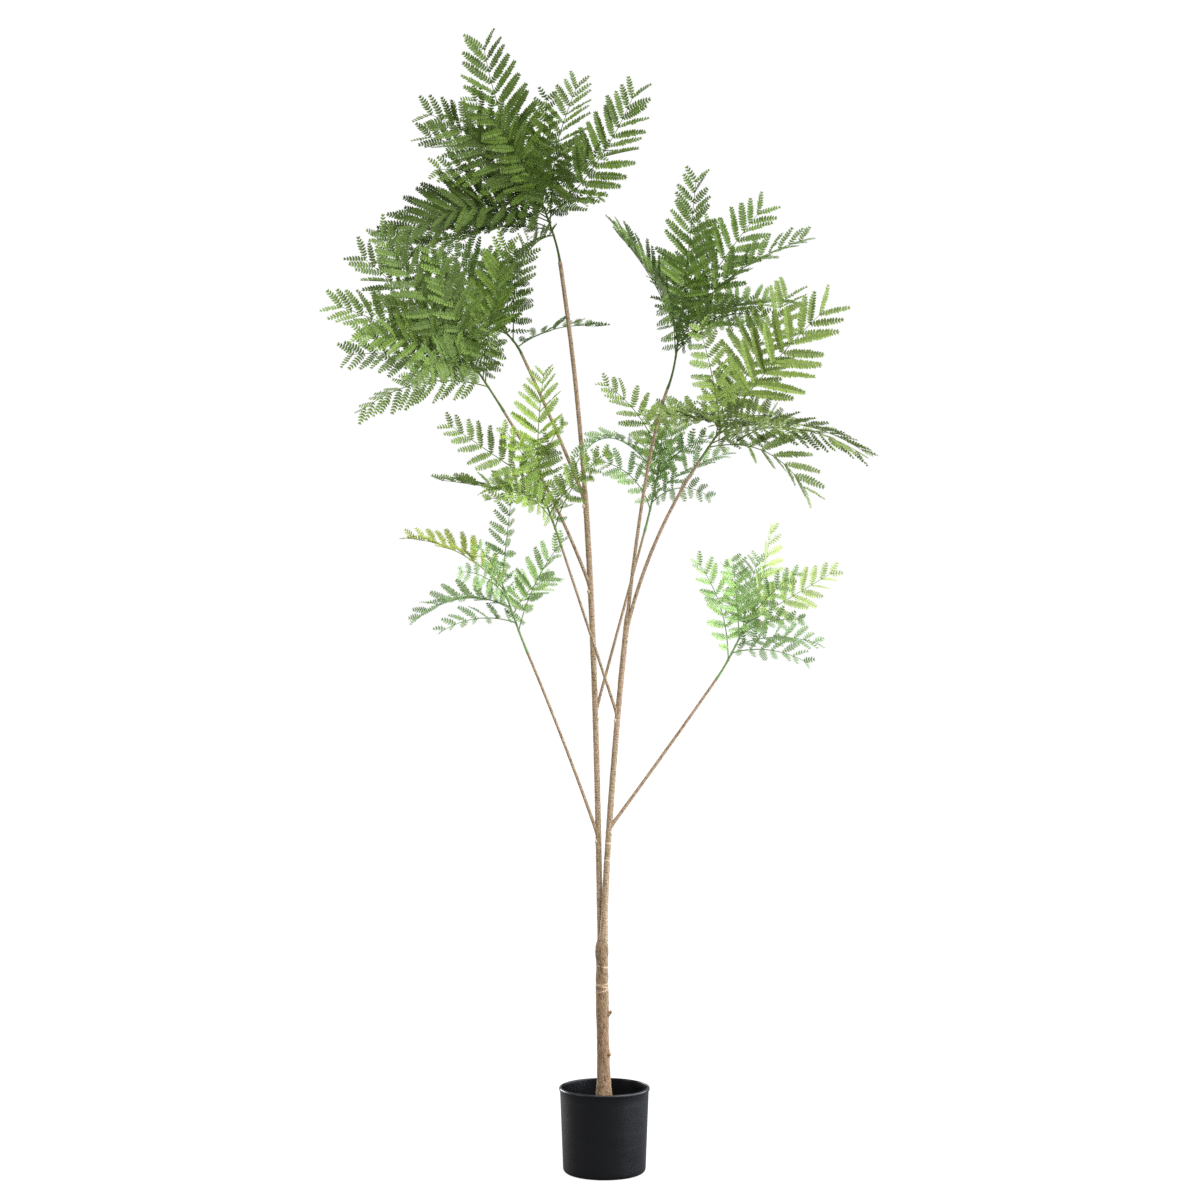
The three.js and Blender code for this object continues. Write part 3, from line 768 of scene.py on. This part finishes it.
def pot_profile():
    """The wall from the middle of the underside, up over the lip and down the inside."""
    underside = [(radius, 0) for radius in (0, *UNDERSIDE_RINGS)]
    foot_centre = (wall_radius(POT_FOOT_ROUND) - POT_FOOT_ROUND, POT_FOOT_ROUND)
    foot = arc(foot_centre, POT_FOOT_ROUND, -90, 0, steps=10)
    shoulder = POT_HEIGHT - POT_RIM_HEIGHT
    wall_heights = np.linspace(POT_FOOT_ROUND + WALL_ABOVE_FOOT, shoulder - WALL_BELOW_LIP, num=12)
    wall = [(wall_radius(z), z) for z in wall_heights]
    under = (POT_RIM_RADIUS - LIP_EDGE_ROUND, shoulder + LIP_EDGE_ROUND)
    over = (POT_RIM_RADIUS - LIP_ROUND, POT_HEIGHT - LIP_ROUND)
    inner = (POT_TOP_RADIUS - POT_WALL + LIP_EDGE_ROUND, POT_HEIGHT - LIP_EDGE_ROUND)
    lip = [
        *arc(under, LIP_EDGE_ROUND, -90, 0, steps=4),
        *arc(over, LIP_ROUND, 0, 90, steps=8),
        *arc(inner, LIP_EDGE_ROUND, 90, 180, steps=4),
    ]
    inside = [(wall_radius(z) - POT_WALL, z) for z in np.linspace(shoulder, POT_FOOT_ROUND, num=8)]
    floor = [(POT_BASE_RADIUS - POT_FOOT_ROUND, POT_WALL), (0, POT_WALL)]
    return [*underside, *foot, *wall, *lip, *inside, *floor]


def fill_profile():
    top = POT_HEIGHT - FILL_BELOW_RIM
    edge = wall_radius(top) - POT_WALL - FILL_GAP
    surface = [(radius, top) for radius in np.linspace(edge, FILL_MIDDLE_RADIUS, num=44)]
    lower = wall_radius(POT_FOOT_ROUND) - POT_WALL - FILL_GAP
    base = POT_WALL + FILL_LIFT
    return [(0, base), (lower - FILL_BEVEL, base), (lower, POT_FOOT_ROUND), *surface, (0, top)]


def add_pot():
    skin = Skin()
    skin.add(*turned(pot_profile(), POT_SEGMENTS))
    add_piece("pot_shell", skin, [pot_material()], "pot")

    vertices, faces = turned(fill_profile(), POT_SEGMENTS)
    surface = np.isclose(vertices[:, 2], POT_HEIGHT - FILL_BELOW_RIM)
    rough = lumps(vertices, FILL_LUMP_SIZE, seed=1)
    rough += FILL_CRUMBS * lumps(vertices, FILL_CRUMB_SIZE, seed=2)
    vertices[:, 2] += np.where(surface, FILL_RELIEF * (rough - FILL_SETTLING), 0)
    skin = Skin()
    skin.add(vertices, faces)
    add_piece("pot_filling", skin, [fill_material()], "pot_fill")


# Trunk, stems and boughs

def add_trunk(material):
    curve = Cubic(TRUNK_PATH)
    t = curve.by_length(np.linspace(0, 1, int(curve.length) + 1))
    centres = curve.at(t)
    heights = centres[:, 2]
    radii = TRUNK_RADIUS + FLARE * np.exp((heights[0] - heights) / FLARE_HEIGHT)
    for bulge in TRUNK_BULGES:
        radii += bulge["size"] * near(heights, [bulge["height"]], bulge["reach"])
    shoulder = np.clip((heights - (TRUNK_TOP - SHOULDER)) / SHOULDER, 0, 1)
    radii *= 1 - SHOULDER_LOSS * shoulder ** 3
    vertices, faces = tube(centres, curve.tangent(t), radii, TRUNK_SIDES)

    outward = square_to(vertices - np.repeat(centres, TRUNK_SIDES, axis=0), UP)
    swell = lumps(vertices, SWELL_SIZE, seed=3)
    plates = lumps(vertices, PLATE_SIZE, seed=4)
    wrinkles = lumps(vertices, WRINKLE_SIZE, seed=5)
    x, z = vertices[:, 0], vertices[:, 2]
    twine = np.max([
        near(z - ring["tilt"] * x + TWINE_WANDER * swell, [ring["height"]], TWINE_REACH)
        for ring in TWINE_RINGS
    ], axis=0)
    relief = SWELL_RELIEF * swell + PLATE_RELIEF * plates + WRINKLE_RELIEF * wrinkles
    relief += TWINE_RELIEF * twine
    # Painted shade: the bark is darker where its plates and wrinkles lie low
    hollow = np.clip(-(PLATE_SHADE * plates + WRINKLE_SHADE * wrinkles), 0, 1)
    scar = twine * np.clip(TWINE_COVER + TWINE_BREAKS * plates, 0, 1)
    skin = Skin()
    skin.add(vertices + outward * relief[:, None], faces, hollow=hollow, scar=scar)
    for row in STUBS:
        add_stub(skin, curve, row)
    add_piece("trunk_bark", skin, [material], "trunk")


def add_stub(skin, curve, row):
    """A cut twig, with a collar where it leaves the bark and a pale end."""
    root = curve.at(curve.by_height(row["height"]))
    heading = direction(row["clock"], row["lean"])
    length = row["length"]
    steps = np.linspace(0, length, num=18)
    bark = TRUNK_RADIUS / math.hypot(heading[0], heading[1])
    collar = STUB_COLLAR * np.exp(-np.abs(steps - bark) / STUB_COLLAR_REACH)
    radii = row["radius"] * (1.0 - STUB_TAPER * steps / length + collar)
    radii[-1] *= STUB_END
    centres = root + steps[:, None] * heading
    vertices, faces = tube(centres, np.broadcast_to(heading, centres.shape), radii, STUB_SIDES)
    vertices += STUB_ROUGHNESS * lumps(vertices, STUB_LUMP_SIZE, seed=6)[:, None]
    cut = np.repeat(steps > length - STUB_CUT_DEPTH, STUB_SIDES)
    skin.add(vertices, faces, hollow=0.0, scar=STUB_CUT_SCAR * cut)


def limb_points(curve, radius_at):
    """Points along a limb, with its radius at each."""
    travelled = np.arange(0, curve.length, LIMB_STEP)
    return curve.at(curve.by_length(travelled / curve.length)), radius_at(travelled)


def gaps_to(points, centres, radii):
    """How far each point lies from the nearest surface of limbs given by centres and radii."""
    return np.min(np.linalg.norm(points[:, None] - centres, axis=-1) - radii, axis=1)


def wrapped_limb(skin, curve, radius_at, sides, sunk=0.0, pale_rings=(), neighbour=None):
    """A limb wound with tape: each turn overlaps the one below with a small step."""
    rings = int((curve.length + sunk) / TAPE_PITCH * RINGS_PER_TURN) + 1
    travelled, centres, tangents = curve.stations(sunk, rings)
    below = np.clip(-travelled / max(sunk, 1.0), 0, 1)
    radii = radius_at(np.clip(travelled, 0, None)) * (1 - SUNK_TAPER * below)
    vertices, faces = tube(centres, tangents, radii, sides)

    turn = np.tile(np.arange(sides) / sides, rings)
    wound = np.repeat(travelled, sides) / TAPE_PITCH + turn
    wound += TAPE_WANDER * lumps(vertices, TAPE_WANDER_SIZE, seed=7)
    step = wound - np.floor(wound)
    rough = lumps(vertices, TAPE_LUMP_SIZE, seed=8)
    rough += TAPE_GRAIN * lumps(vertices, TAPE_GRAIN_SIZE, seed=9)
    size = np.clip(np.repeat(radii, sides) / TAPE_FULL_RADIUS, *TAPE_RELIEF_LIMITS)
    pale = near(vertices[:, 2], pale_rings, PALE_RING_REACH)
    relief = size * (TAPE_STEP * (step - 0.5) + TAPE_ROUGHNESS * rough) + PALE_RING_RELIEF * pale
    # Painted shade at the step between turns and in the low spots of the tape's roughness
    hollow = np.clip(TAPE_EDGE_SHADE - TAPE_EDGE_FADE * step, 0, TAPE_EDGE_SHADE)
    hollow += np.clip(-TAPE_ROUGH_SHADE * rough, 0, TAPE_ROUGH_SHADE)
    # Painted shade: dark along the seam where this stem lies against its neighbour
    if neighbour:
        seam_shade = 1 - gaps_to(vertices, *limb_points(*neighbour)) / SEAM_SHADE_REACH
        hollow = np.maximum(hollow, np.clip(seam_shade, 0, 1))
    outward = unit(vertices - np.repeat(centres, sides, axis=0))
    skin.add(vertices + outward * relief[:, None], faces, hollow=hollow, scar=PALE_RING_SCAR * pale)


def add_knot(skin, stem, radius_at, bough):
    """A pale scar where a bough leaves its stem."""
    t = stem.by_height(bough.height - KNOT_BELOW)
    centre = stem.at(t)
    side = np.sign(bough.tip[0] - centre[0])
    seat = np.array([KNOT_SIDEWAYS * side, -KNOT_FORWARD, 0]) * radius_at(stem.length * t)
    vertices, faces = turned(arc((0, 0), 1, -90, 90, steps=8), segments=14)
    vertices *= np.array([KNOT_SIZE, KNOT_SIZE, KNOT_TALLER * KNOT_SIZE])
    vertices *= 1 + KNOT_ROUGHNESS * lumps(vertices, KNOT_LUMP_SIZE, seed=10)[:, None]
    # The knot gets a slight darkening, the same brown as painted shade, under its pale scar colour
    skin.add(vertices + centre + seat, faces, hollow=0.2, scar=0.75)


def bough_curve(row, stem):
    """A bough's line; handles raised by 4/3 of the bow lift the middle of a cubic by the bow."""
    root = stem.at(stem.by_height(row.height))
    tip = np.array(row.tip, float)
    chord = tip - root
    rise = square_to(UP, unit(chord)) * row.bow * 4 / 3
    return Cubic([root, root + chord / 3 + rise, root + 2 * chord / 3 + rise, tip])


def stem_radius(row, length):
    def at(travelled):
        share = travelled / length
        plain = np.interp(share, [0, row["fork"], row["fork"] + FORK_STEP, 1], row["radii"])
        return plain + row["swelling"] * np.exp(-share / SWELLING_SHARE)
    return at


def bough_radius(row, length):
    def at(travelled):
        swelling = BOUGH_SWELLING * np.exp(-travelled / BOUGH_SWELLING_LENGTH)
        return taper(row.radii, travelled / length) + swelling
    return at


def limb_curves():
    curves = {name: Cubic(row["path"]) for name, row in STEMS.items()}
    for name, row in BOUGHS.items():
        curves[name] = bough_curve(row, curves[row.stem])
    return curves


def limb_radii(curves):
    """For each limb a function that gives its radius after a length travelled along it."""
    radii = {name: stem_radius(row, curves[name].length) for name, row in STEMS.items()}
    for name, row in BOUGHS.items():
        radii[name] = bough_radius(row, curves[name].length)
    return radii


def add_limbs(curves, radii):
    add_trunk(bark_material("trunk_bark", TRUNK_BARK))
    wrapping = bark_material("stem_wrapping", WRAPPING)
    for name, row in STEMS.items():
        skin = Skin()
        other = next(stem for stem in STEMS if stem != name)
        wrapped_limb(skin, curves[name], radii[name], STEM_SIDES, STEM_SUNK, row["pale_rings"],
                     neighbour=(curves[other], radii[other]))
        for bough in BOUGHS.values():
            if bough.stem == name:
                add_knot(skin, curves[name], radii[name], bough)
        add_piece(f"{name}_wrapped", skin, [wrapping], name)
    for name in BOUGHS:
        skin = Skin()
        wrapped_limb(skin, curves[name], radii[name], BOUGH_SIDES)
        add_piece(f"{name}_wrapped", skin, [wrapping], name)


# Sprays

def spray_stalk(row, limb_curve):
    length, clock, lean = row.stalk
    tip = limb_curve.at(1.0)
    limb_end = limb_curve.tangent(1.0)
    heading = direction(clock, lean)
    end = tip + length * heading
    return Cubic([tip, tip + limb_end * length / 3, end - heading * length / 3, end])


def stalk_radius(travelled):
    return np.full(len(travelled), STALK_RADII[0])


class Rachis:
    """The line of a frond, with the blade's frame at any share t of the way along it."""

    def __init__(self, root, clock, lean, length, arch, face, spread=1.0):
        self.root = root
        self.length = length
        self.spread = spread
        self.along = direction(clock, lean)
        self.rise = square_to(UP, self.along) * 4 * arch * length
        broad = square_to(VIEWER, self.along)
        edge = np.cross(self.along, broad)
        if edge[2] < 0:
            edge = -edge
        turn = math.radians(face)
        self.normal = broad * math.cos(turn) + edge * math.sin(turn)
        steps = np.diff(self.at(np.linspace(0, 1, 41)), axis=0)
        self.travelled = np.sum(np.linalg.norm(steps, axis=1))

    def at(self, t):
        t = column(t)
        return self.root + self.along * t * self.length + self.rise * t * (1 - t)

    def tangent(self, t):
        t = column(t)
        return unit(self.along * self.length + self.rise * (1 - 2 * t))


class Pinna:
    """A side rib that leaves the rachis, droops and curls, and the plane that its leaflets lie in."""

    def __init__(self, rachis, place, s, hand, size, draw):
        tangent = rachis.tangent(place)
        self.base = rachis.at(place)
        self.up = square_to(rachis.normal, tangent)
        self.hand = hand
        side = np.cross(tangent, self.up)
        sweep = math.radians(taper(SWEEPS, s) + draw.normal(0, SWEEP_DRIFT))
        fold = math.radians(size.fold + draw.normal(0, FOLD_DRIFT))
        self.outward = side * hand * math.cos(fold) + self.up * math.sin(fold)
        self.along = tangent * math.cos(sweep) + self.outward * math.sin(sweep)
        longest = size.pinna_share * rachis.length * rachis.spread
        share = peaked(s, tip_loss=size.end_loss, **PINNA_SHAPE)
        self.length = longest * share * draw.uniform(*PINNA_LENGTHS)
        droop = -UP * PINNA_DROOP * self.length * draw.uniform(*PINNA_DROOPS)
        curl = tangent * PINNA_CURL * self.length * draw.uniform(*PINNA_CURLS)
        self.bend = droop + curl
        self.roll = math.radians(draw.normal(0, PINNA_ROLL_DRIFT))

    def at(self, w):
        w = column(w)
        return self.base + self.along * self.length * w + self.bend * w ** 2

    def heading(self, w):
        w = column(w)
        return unit(self.along * self.length + 2 * self.bend * w)

    def free_share(self, obstacles):
        """The share of it that grows before a limb or a stalk is in its way."""
        shares = np.linspace(CLEAR_FROM, 1, num=9)
        free = gaps_to(self.at(shares), *obstacles) > CLEARANCE
        return 1.0 if free.all() else shares[np.argmin(free)] - CLEAR_FROM

    def leaf_frames(self, places):
        """At each place: the way forward, the normal of the leaflets' plane, and the way sideways."""
        forward = self.heading(places)
        across = self.outward - self.along * np.dot(self.outward, self.along)
        flat = square_to(np.cross(self.along, across) * self.hand, forward)
        flat = np.where(np.sum(flat * self.up, axis=1, keepdims=True) < 0, -flat, flat)
        beside = np.cross(forward, flat)
        rolled_flat = flat * math.cos(self.roll) + beside * math.sin(self.roll)
        rolled_beside = beside * math.cos(self.roll) - flat * math.sin(self.roll)
        return forward, rolled_flat, rolled_beside


class Leaflets:
    """Leaflets gathered as arrays, and laid out as one skin at the end."""

    def __init__(self, half_width):
        self.rows = []
        self.half_width = half_width

    def add(self, roots, along, normals, lengths, shade):
        across = np.cross(normals, along)
        shades = np.full(len(roots), shade)
        self.rows.append((roots, along, across, normals, lengths, shades))

    def skin(self):
        columns = [np.concatenate(part) for part in zip(*self.rows)]
        roots, along, across, normals, lengths, shades = columns
        forward, sideways, upward = LEAFLET_SHAPE.T[:, :, None]
        long = lengths[:, None, None]
        half = self.half_width * long
        vertices = roots[:, None] + long * forward * along[:, None]
        vertices += half * (sideways * across[:, None] + upward * normals[:, None])
        faces = LEAFLET_FACES + len(LEAFLET_SHAPE) * np.arange(len(roots))[:, None, None]
        face_shades = np.repeat(shades, len(LEAFLET_FACES))
        skin = Skin()
        skin.add(vertices.reshape(-1, 3), faces.reshape(-1, 3).tolist(), face_shades)
        return skin


def add_pinna(leaflets, ribs, draw, obstacles, pinna, pitch, shade, rib):
    reach = pinna.free_share(obstacles)
    if reach < LEAST_REACH:
        return

    w = np.linspace(0, PINNA_RIB_END * reach, num=8)
    radii = taper(PINNA_RADII, w)
    ribs.add(*tube(pinna.at(w), pinna.heading(w), radii, sides=4, reference=pinna.up), rib)

    pairs = max(LEAST_PAIRS, round(pinna.length * (1 - LEAFLETS_FROM) / pitch))
    places = np.linspace(LEAFLETS_FROM, LEAFLETS_TO, pairs)
    places = places[places <= reach]
    count = len(places)
    forward, flat, beside = pinna.leaf_frames(places)
    longest = LEAFLET_SHORTEST + LEAFLET_SHARE * pinna.length
    lift = math.radians(LEAFLET_LIFT + draw.normal(0, PINNA_LIFT_DRIFT))
    for hand in (1, -1):
        sweeps = LEAFLET_SWEEP - LEAFLET_SWEEP_LOSS * places ** 3
        sweeps = np.radians(sweeps + draw.normal(0, LEAFLET_SWEEP_DRIFT, count))[:, None]
        lifts = lift + np.radians(draw.normal(0, LEAFLET_LIFT_DRIFT, count))[:, None]
        out = beside * hand * np.cos(lifts) + flat * np.sin(lifts)
        along = forward * np.cos(sweeps) + out * np.sin(sweeps)
        normals = square_to(flat * np.cos(lifts) - beside * hand * np.sin(lifts), along)
        lengths = longest * peaked(places, **LEAFLET_SIZES) * draw.uniform(*LEAFLET_LENGTHS, count)
        leaflets.add(pinna.at(places), along, normals, lengths, shade)
    if reach == 1.0:
        end = np.array([END_LEAFLET_AT])
        length = np.array([END_LEAFLET_SHARE * longest])
        leaflets.add(pinna.at(end), pinna.heading(end), flat[-1:], length, shade)


def add_frond(leaflets, ribs, draw, obstacles, rachis, size, first_shade):
    """A frond whose shades are numbered from first_shade: 0 is the start of the spray's own tint."""
    t = np.linspace(0, 1, num=27)
    radii = taper(RACHIS_RADII, t)
    rib = first_shade + len(SHADES)
    ribs.add(*tube(rachis.at(t), rachis.tangent(t), radii, sides=7, reference=rachis.normal), rib)

    rise = rachis.along[2]
    frond_drift = draw.choice(SHADE_DRIFT, p=FROND_DRIFT_ODDS)
    # Painted light: a frond that rises steeply takes a lighter shade and one that spreads level or hangs a
    # darker one; the drift is random tone
    layer = MIDDLE_SHADE
    if first_shade == 0:
        layer += int(rise > RISE_FOR_LIGHT) - int(rise < RISE_FOR_DARK) + frond_drift
    pitch = size.pair_pitch * rachis.spread ** 0.5
    pairs = round((1 - BARE_SHARE) * rachis.travelled / pitch) + 1
    for k in range(pairs):
        s = k / (pairs - 1)
        for hand in (1, -1):
            place = BARE_SHARE + (1 - BARE_SHARE) * s + draw.uniform(-PAIR_DRIFT, PAIR_DRIFT)
            place = min(place, 1.0)
            drift = draw.choice(SHADE_DRIFT, p=PINNA_DRIFT_ODDS)
            shade = first_shade + int(np.clip(layer + drift, 0, len(SHADES) - 1))
            pinna = Pinna(rachis, place, s, hand, size, draw)
            add_pinna(leaflets, ribs, draw, obstacles, pinna, size.leaflet_pitch, shade, rib)


def add_stalk(ribs, stalk, fronds_at):
    travelled, centres, tangents = stalk.stations(STALK_SUNK, count=70)
    radii = taper(STALK_RADII, np.clip(travelled, 0, None) / stalk.length)
    radii += STALK_SHEATH * np.exp(-np.abs(travelled) / STALK_SHEATH_LENGTH)
    for place in fronds_at:
        radii += STALK_KNUCKLE * near(travelled, [place * stalk.length], STALK_KNUCKLE_REACH)
    ribs.add(*tube(centres, tangents, radii, sides=10), len(SHADES))


def add_spray(name, row, stalk, obstacles, draw, greens):
    leaflets = Leaflets(row.size.leaflet_half_width)
    ribs = Skin()
    last = len(row.fronds) - 1
    fronds_at = [row.first + (LAST_FROND_AT - row.first) * i / last for i in range(last + 1)]
    own_greens = greens[row.tint]
    second_tint, second_fronds = SECOND_TINTS.get(name, (row.tint, []))
    add_stalk(ribs, stalk, fronds_at)
    for i, (place, frond) in enumerate(zip(fronds_at, row.fronds)):
        rachis = Rachis(stalk.at(stalk.by_length(place)), *frond)
        first_shade = len(own_greens) if i in second_fronds else 0
        add_frond(leaflets, ribs, draw, obstacles, rachis, row.size, first_shade)
    for place, *frond in row.inner:
        rachis = Rachis(stalk.at(stalk.by_length(place)), *frond)
        add_frond(leaflets, ribs, draw, obstacles, rachis, row.size, first_shade=0)
    spray_greens = own_greens + greens[second_tint]
    add_piece(f"{name}_leaflets", leaflets.skin(), spray_greens, name)
    add_piece(f"{name}_ribs", ribs, spray_greens, name)


def add_sprays(curves, radii):
    stalks = {name: spray_stalk(row, curves[row.limb]) for name, row in SPRAYS.items()}
    limbs = [limb_points(curves[name], radius_at) for name, radius_at in radii.items()]
    limbs += [limb_points(stalk, stalk_radius) for stalk in stalks.values()]
    obstacles = [np.concatenate(part) for part in zip(*limbs)]
    greens = {tint: leaf_materials(tint) for tint in TINTS}
    for number, (name, row) in enumerate(SPRAYS.items()):
        draw = np.random.default_rng(SEED + number)
        add_spray(name, row, stalks[name], obstacles, draw, greens)


# Studio

def add_floor():
    mesh = bpy.data.meshes.new("floor")
    signs = [(-1, -1), (1, -1), (1, 1), (-1, 1)]
    corners = [(FLOOR_REACH * x, FLOOR_REACH * y, 0) for x, y in signs]
    mesh.from_pydata(corners, [], [(0, 1, 2, 3)])
    floor = new_object("floor", mesh)
    shading = Shading("pale_floor", roughness=0.9, specular=0.1)
    shading.colour((FLOOR_GREY, FLOOR_GREY, FLOOR_GREY))
    set_inputs(shading.shader, Emission_Color=WHITE)
    rays = shading.nodes.new("ShaderNodeLightPath")
    lift = shading.ramp(rays.outputs["Is Camera Ray"], 0.0, 1.0, last=FLOOR_LIFT)
    shading.drive("Emission Strength", lift)
    mesh.materials.append(shading.material)


def add_world():
    """A white background for the camera, and a dimmer one that lights the scene."""
    world = bpy.data.worlds.new("studio")
    world.use_nodes = True
    nodes = world.node_tree.nodes
    links = world.node_tree.links
    seen = nodes["Background"]
    set_inputs(seen, Color=WHITE, Strength=1.0)
    lighting = nodes.new("ShaderNodeBackground")
    set_inputs(lighting, Color=WHITE, Strength=ROOM_LIGHT)
    rays = nodes.new("ShaderNodeLightPath")
    choice = nodes.new("ShaderNodeMixShader")
    links.new(rays.outputs["Is Camera Ray"], choice.inputs["Fac"])
    links.new(lighting.outputs["Background"], choice.inputs[1])
    links.new(seen.outputs["Background"], choice.inputs[2])
    links.new(choice.outputs["Shader"], nodes["World Output"].inputs["Surface"])
    world.cycles.sampling_method = "NONE"
    bpy.context.scene.world = world


def add_lights():
    sun = bpy.data.lights.new("overhead", "SUN")
    sun.energy = OVERHEAD_LIGHT
    sun.angle = math.radians(OVERHEAD_SPREAD)
    overhead = new_object("overhead", sun)
    overhead.rotation_euler = (math.radians(OVERHEAD_TILT), 0, math.radians(OVERHEAD_TURN))
    for name, row in AREA_LIGHTS.items():
        data = bpy.data.lights.new(name, "AREA")
        data.shape = "RECTANGLE"
        data.size, data.size_y = row.size
        data.energy = row.power
        data.color = row.colour
        light = new_object(name, data)
        light.location = row.place
        aim = np.array(row.target) - np.array(row.place)
        tilt = math.acos(-aim[2] / np.linalg.norm(aim))
        light.rotation_euler = (tilt, 0, math.atan2(aim[1], aim[0]) - math.pi / 2)


def add_camera():
    data = bpy.data.cameras.new("camera")
    data.sensor_width = CAMERA_SENSOR
    data.lens = CAMERA_LENS
    camera = new_object("camera", data)
    camera.location = CAMERA_PLACE
    camera.rotation_euler = (math.pi / 2, 0, 0)
    bpy.context.scene.camera = camera
    bpy.context.scene.view_settings.view_transform = "Standard"
    bpy.context.scene.cycles.use_denoising = False


add_camera()
add_world()
add_lights()
add_floor()
add_pot()
curves_by_limb = limb_curves()
radii_by_limb = limb_radii(curves_by_limb)
add_limbs(curves_by_limb, radii_by_limb)
add_sprays(curves_by_limb, radii_by_limb)
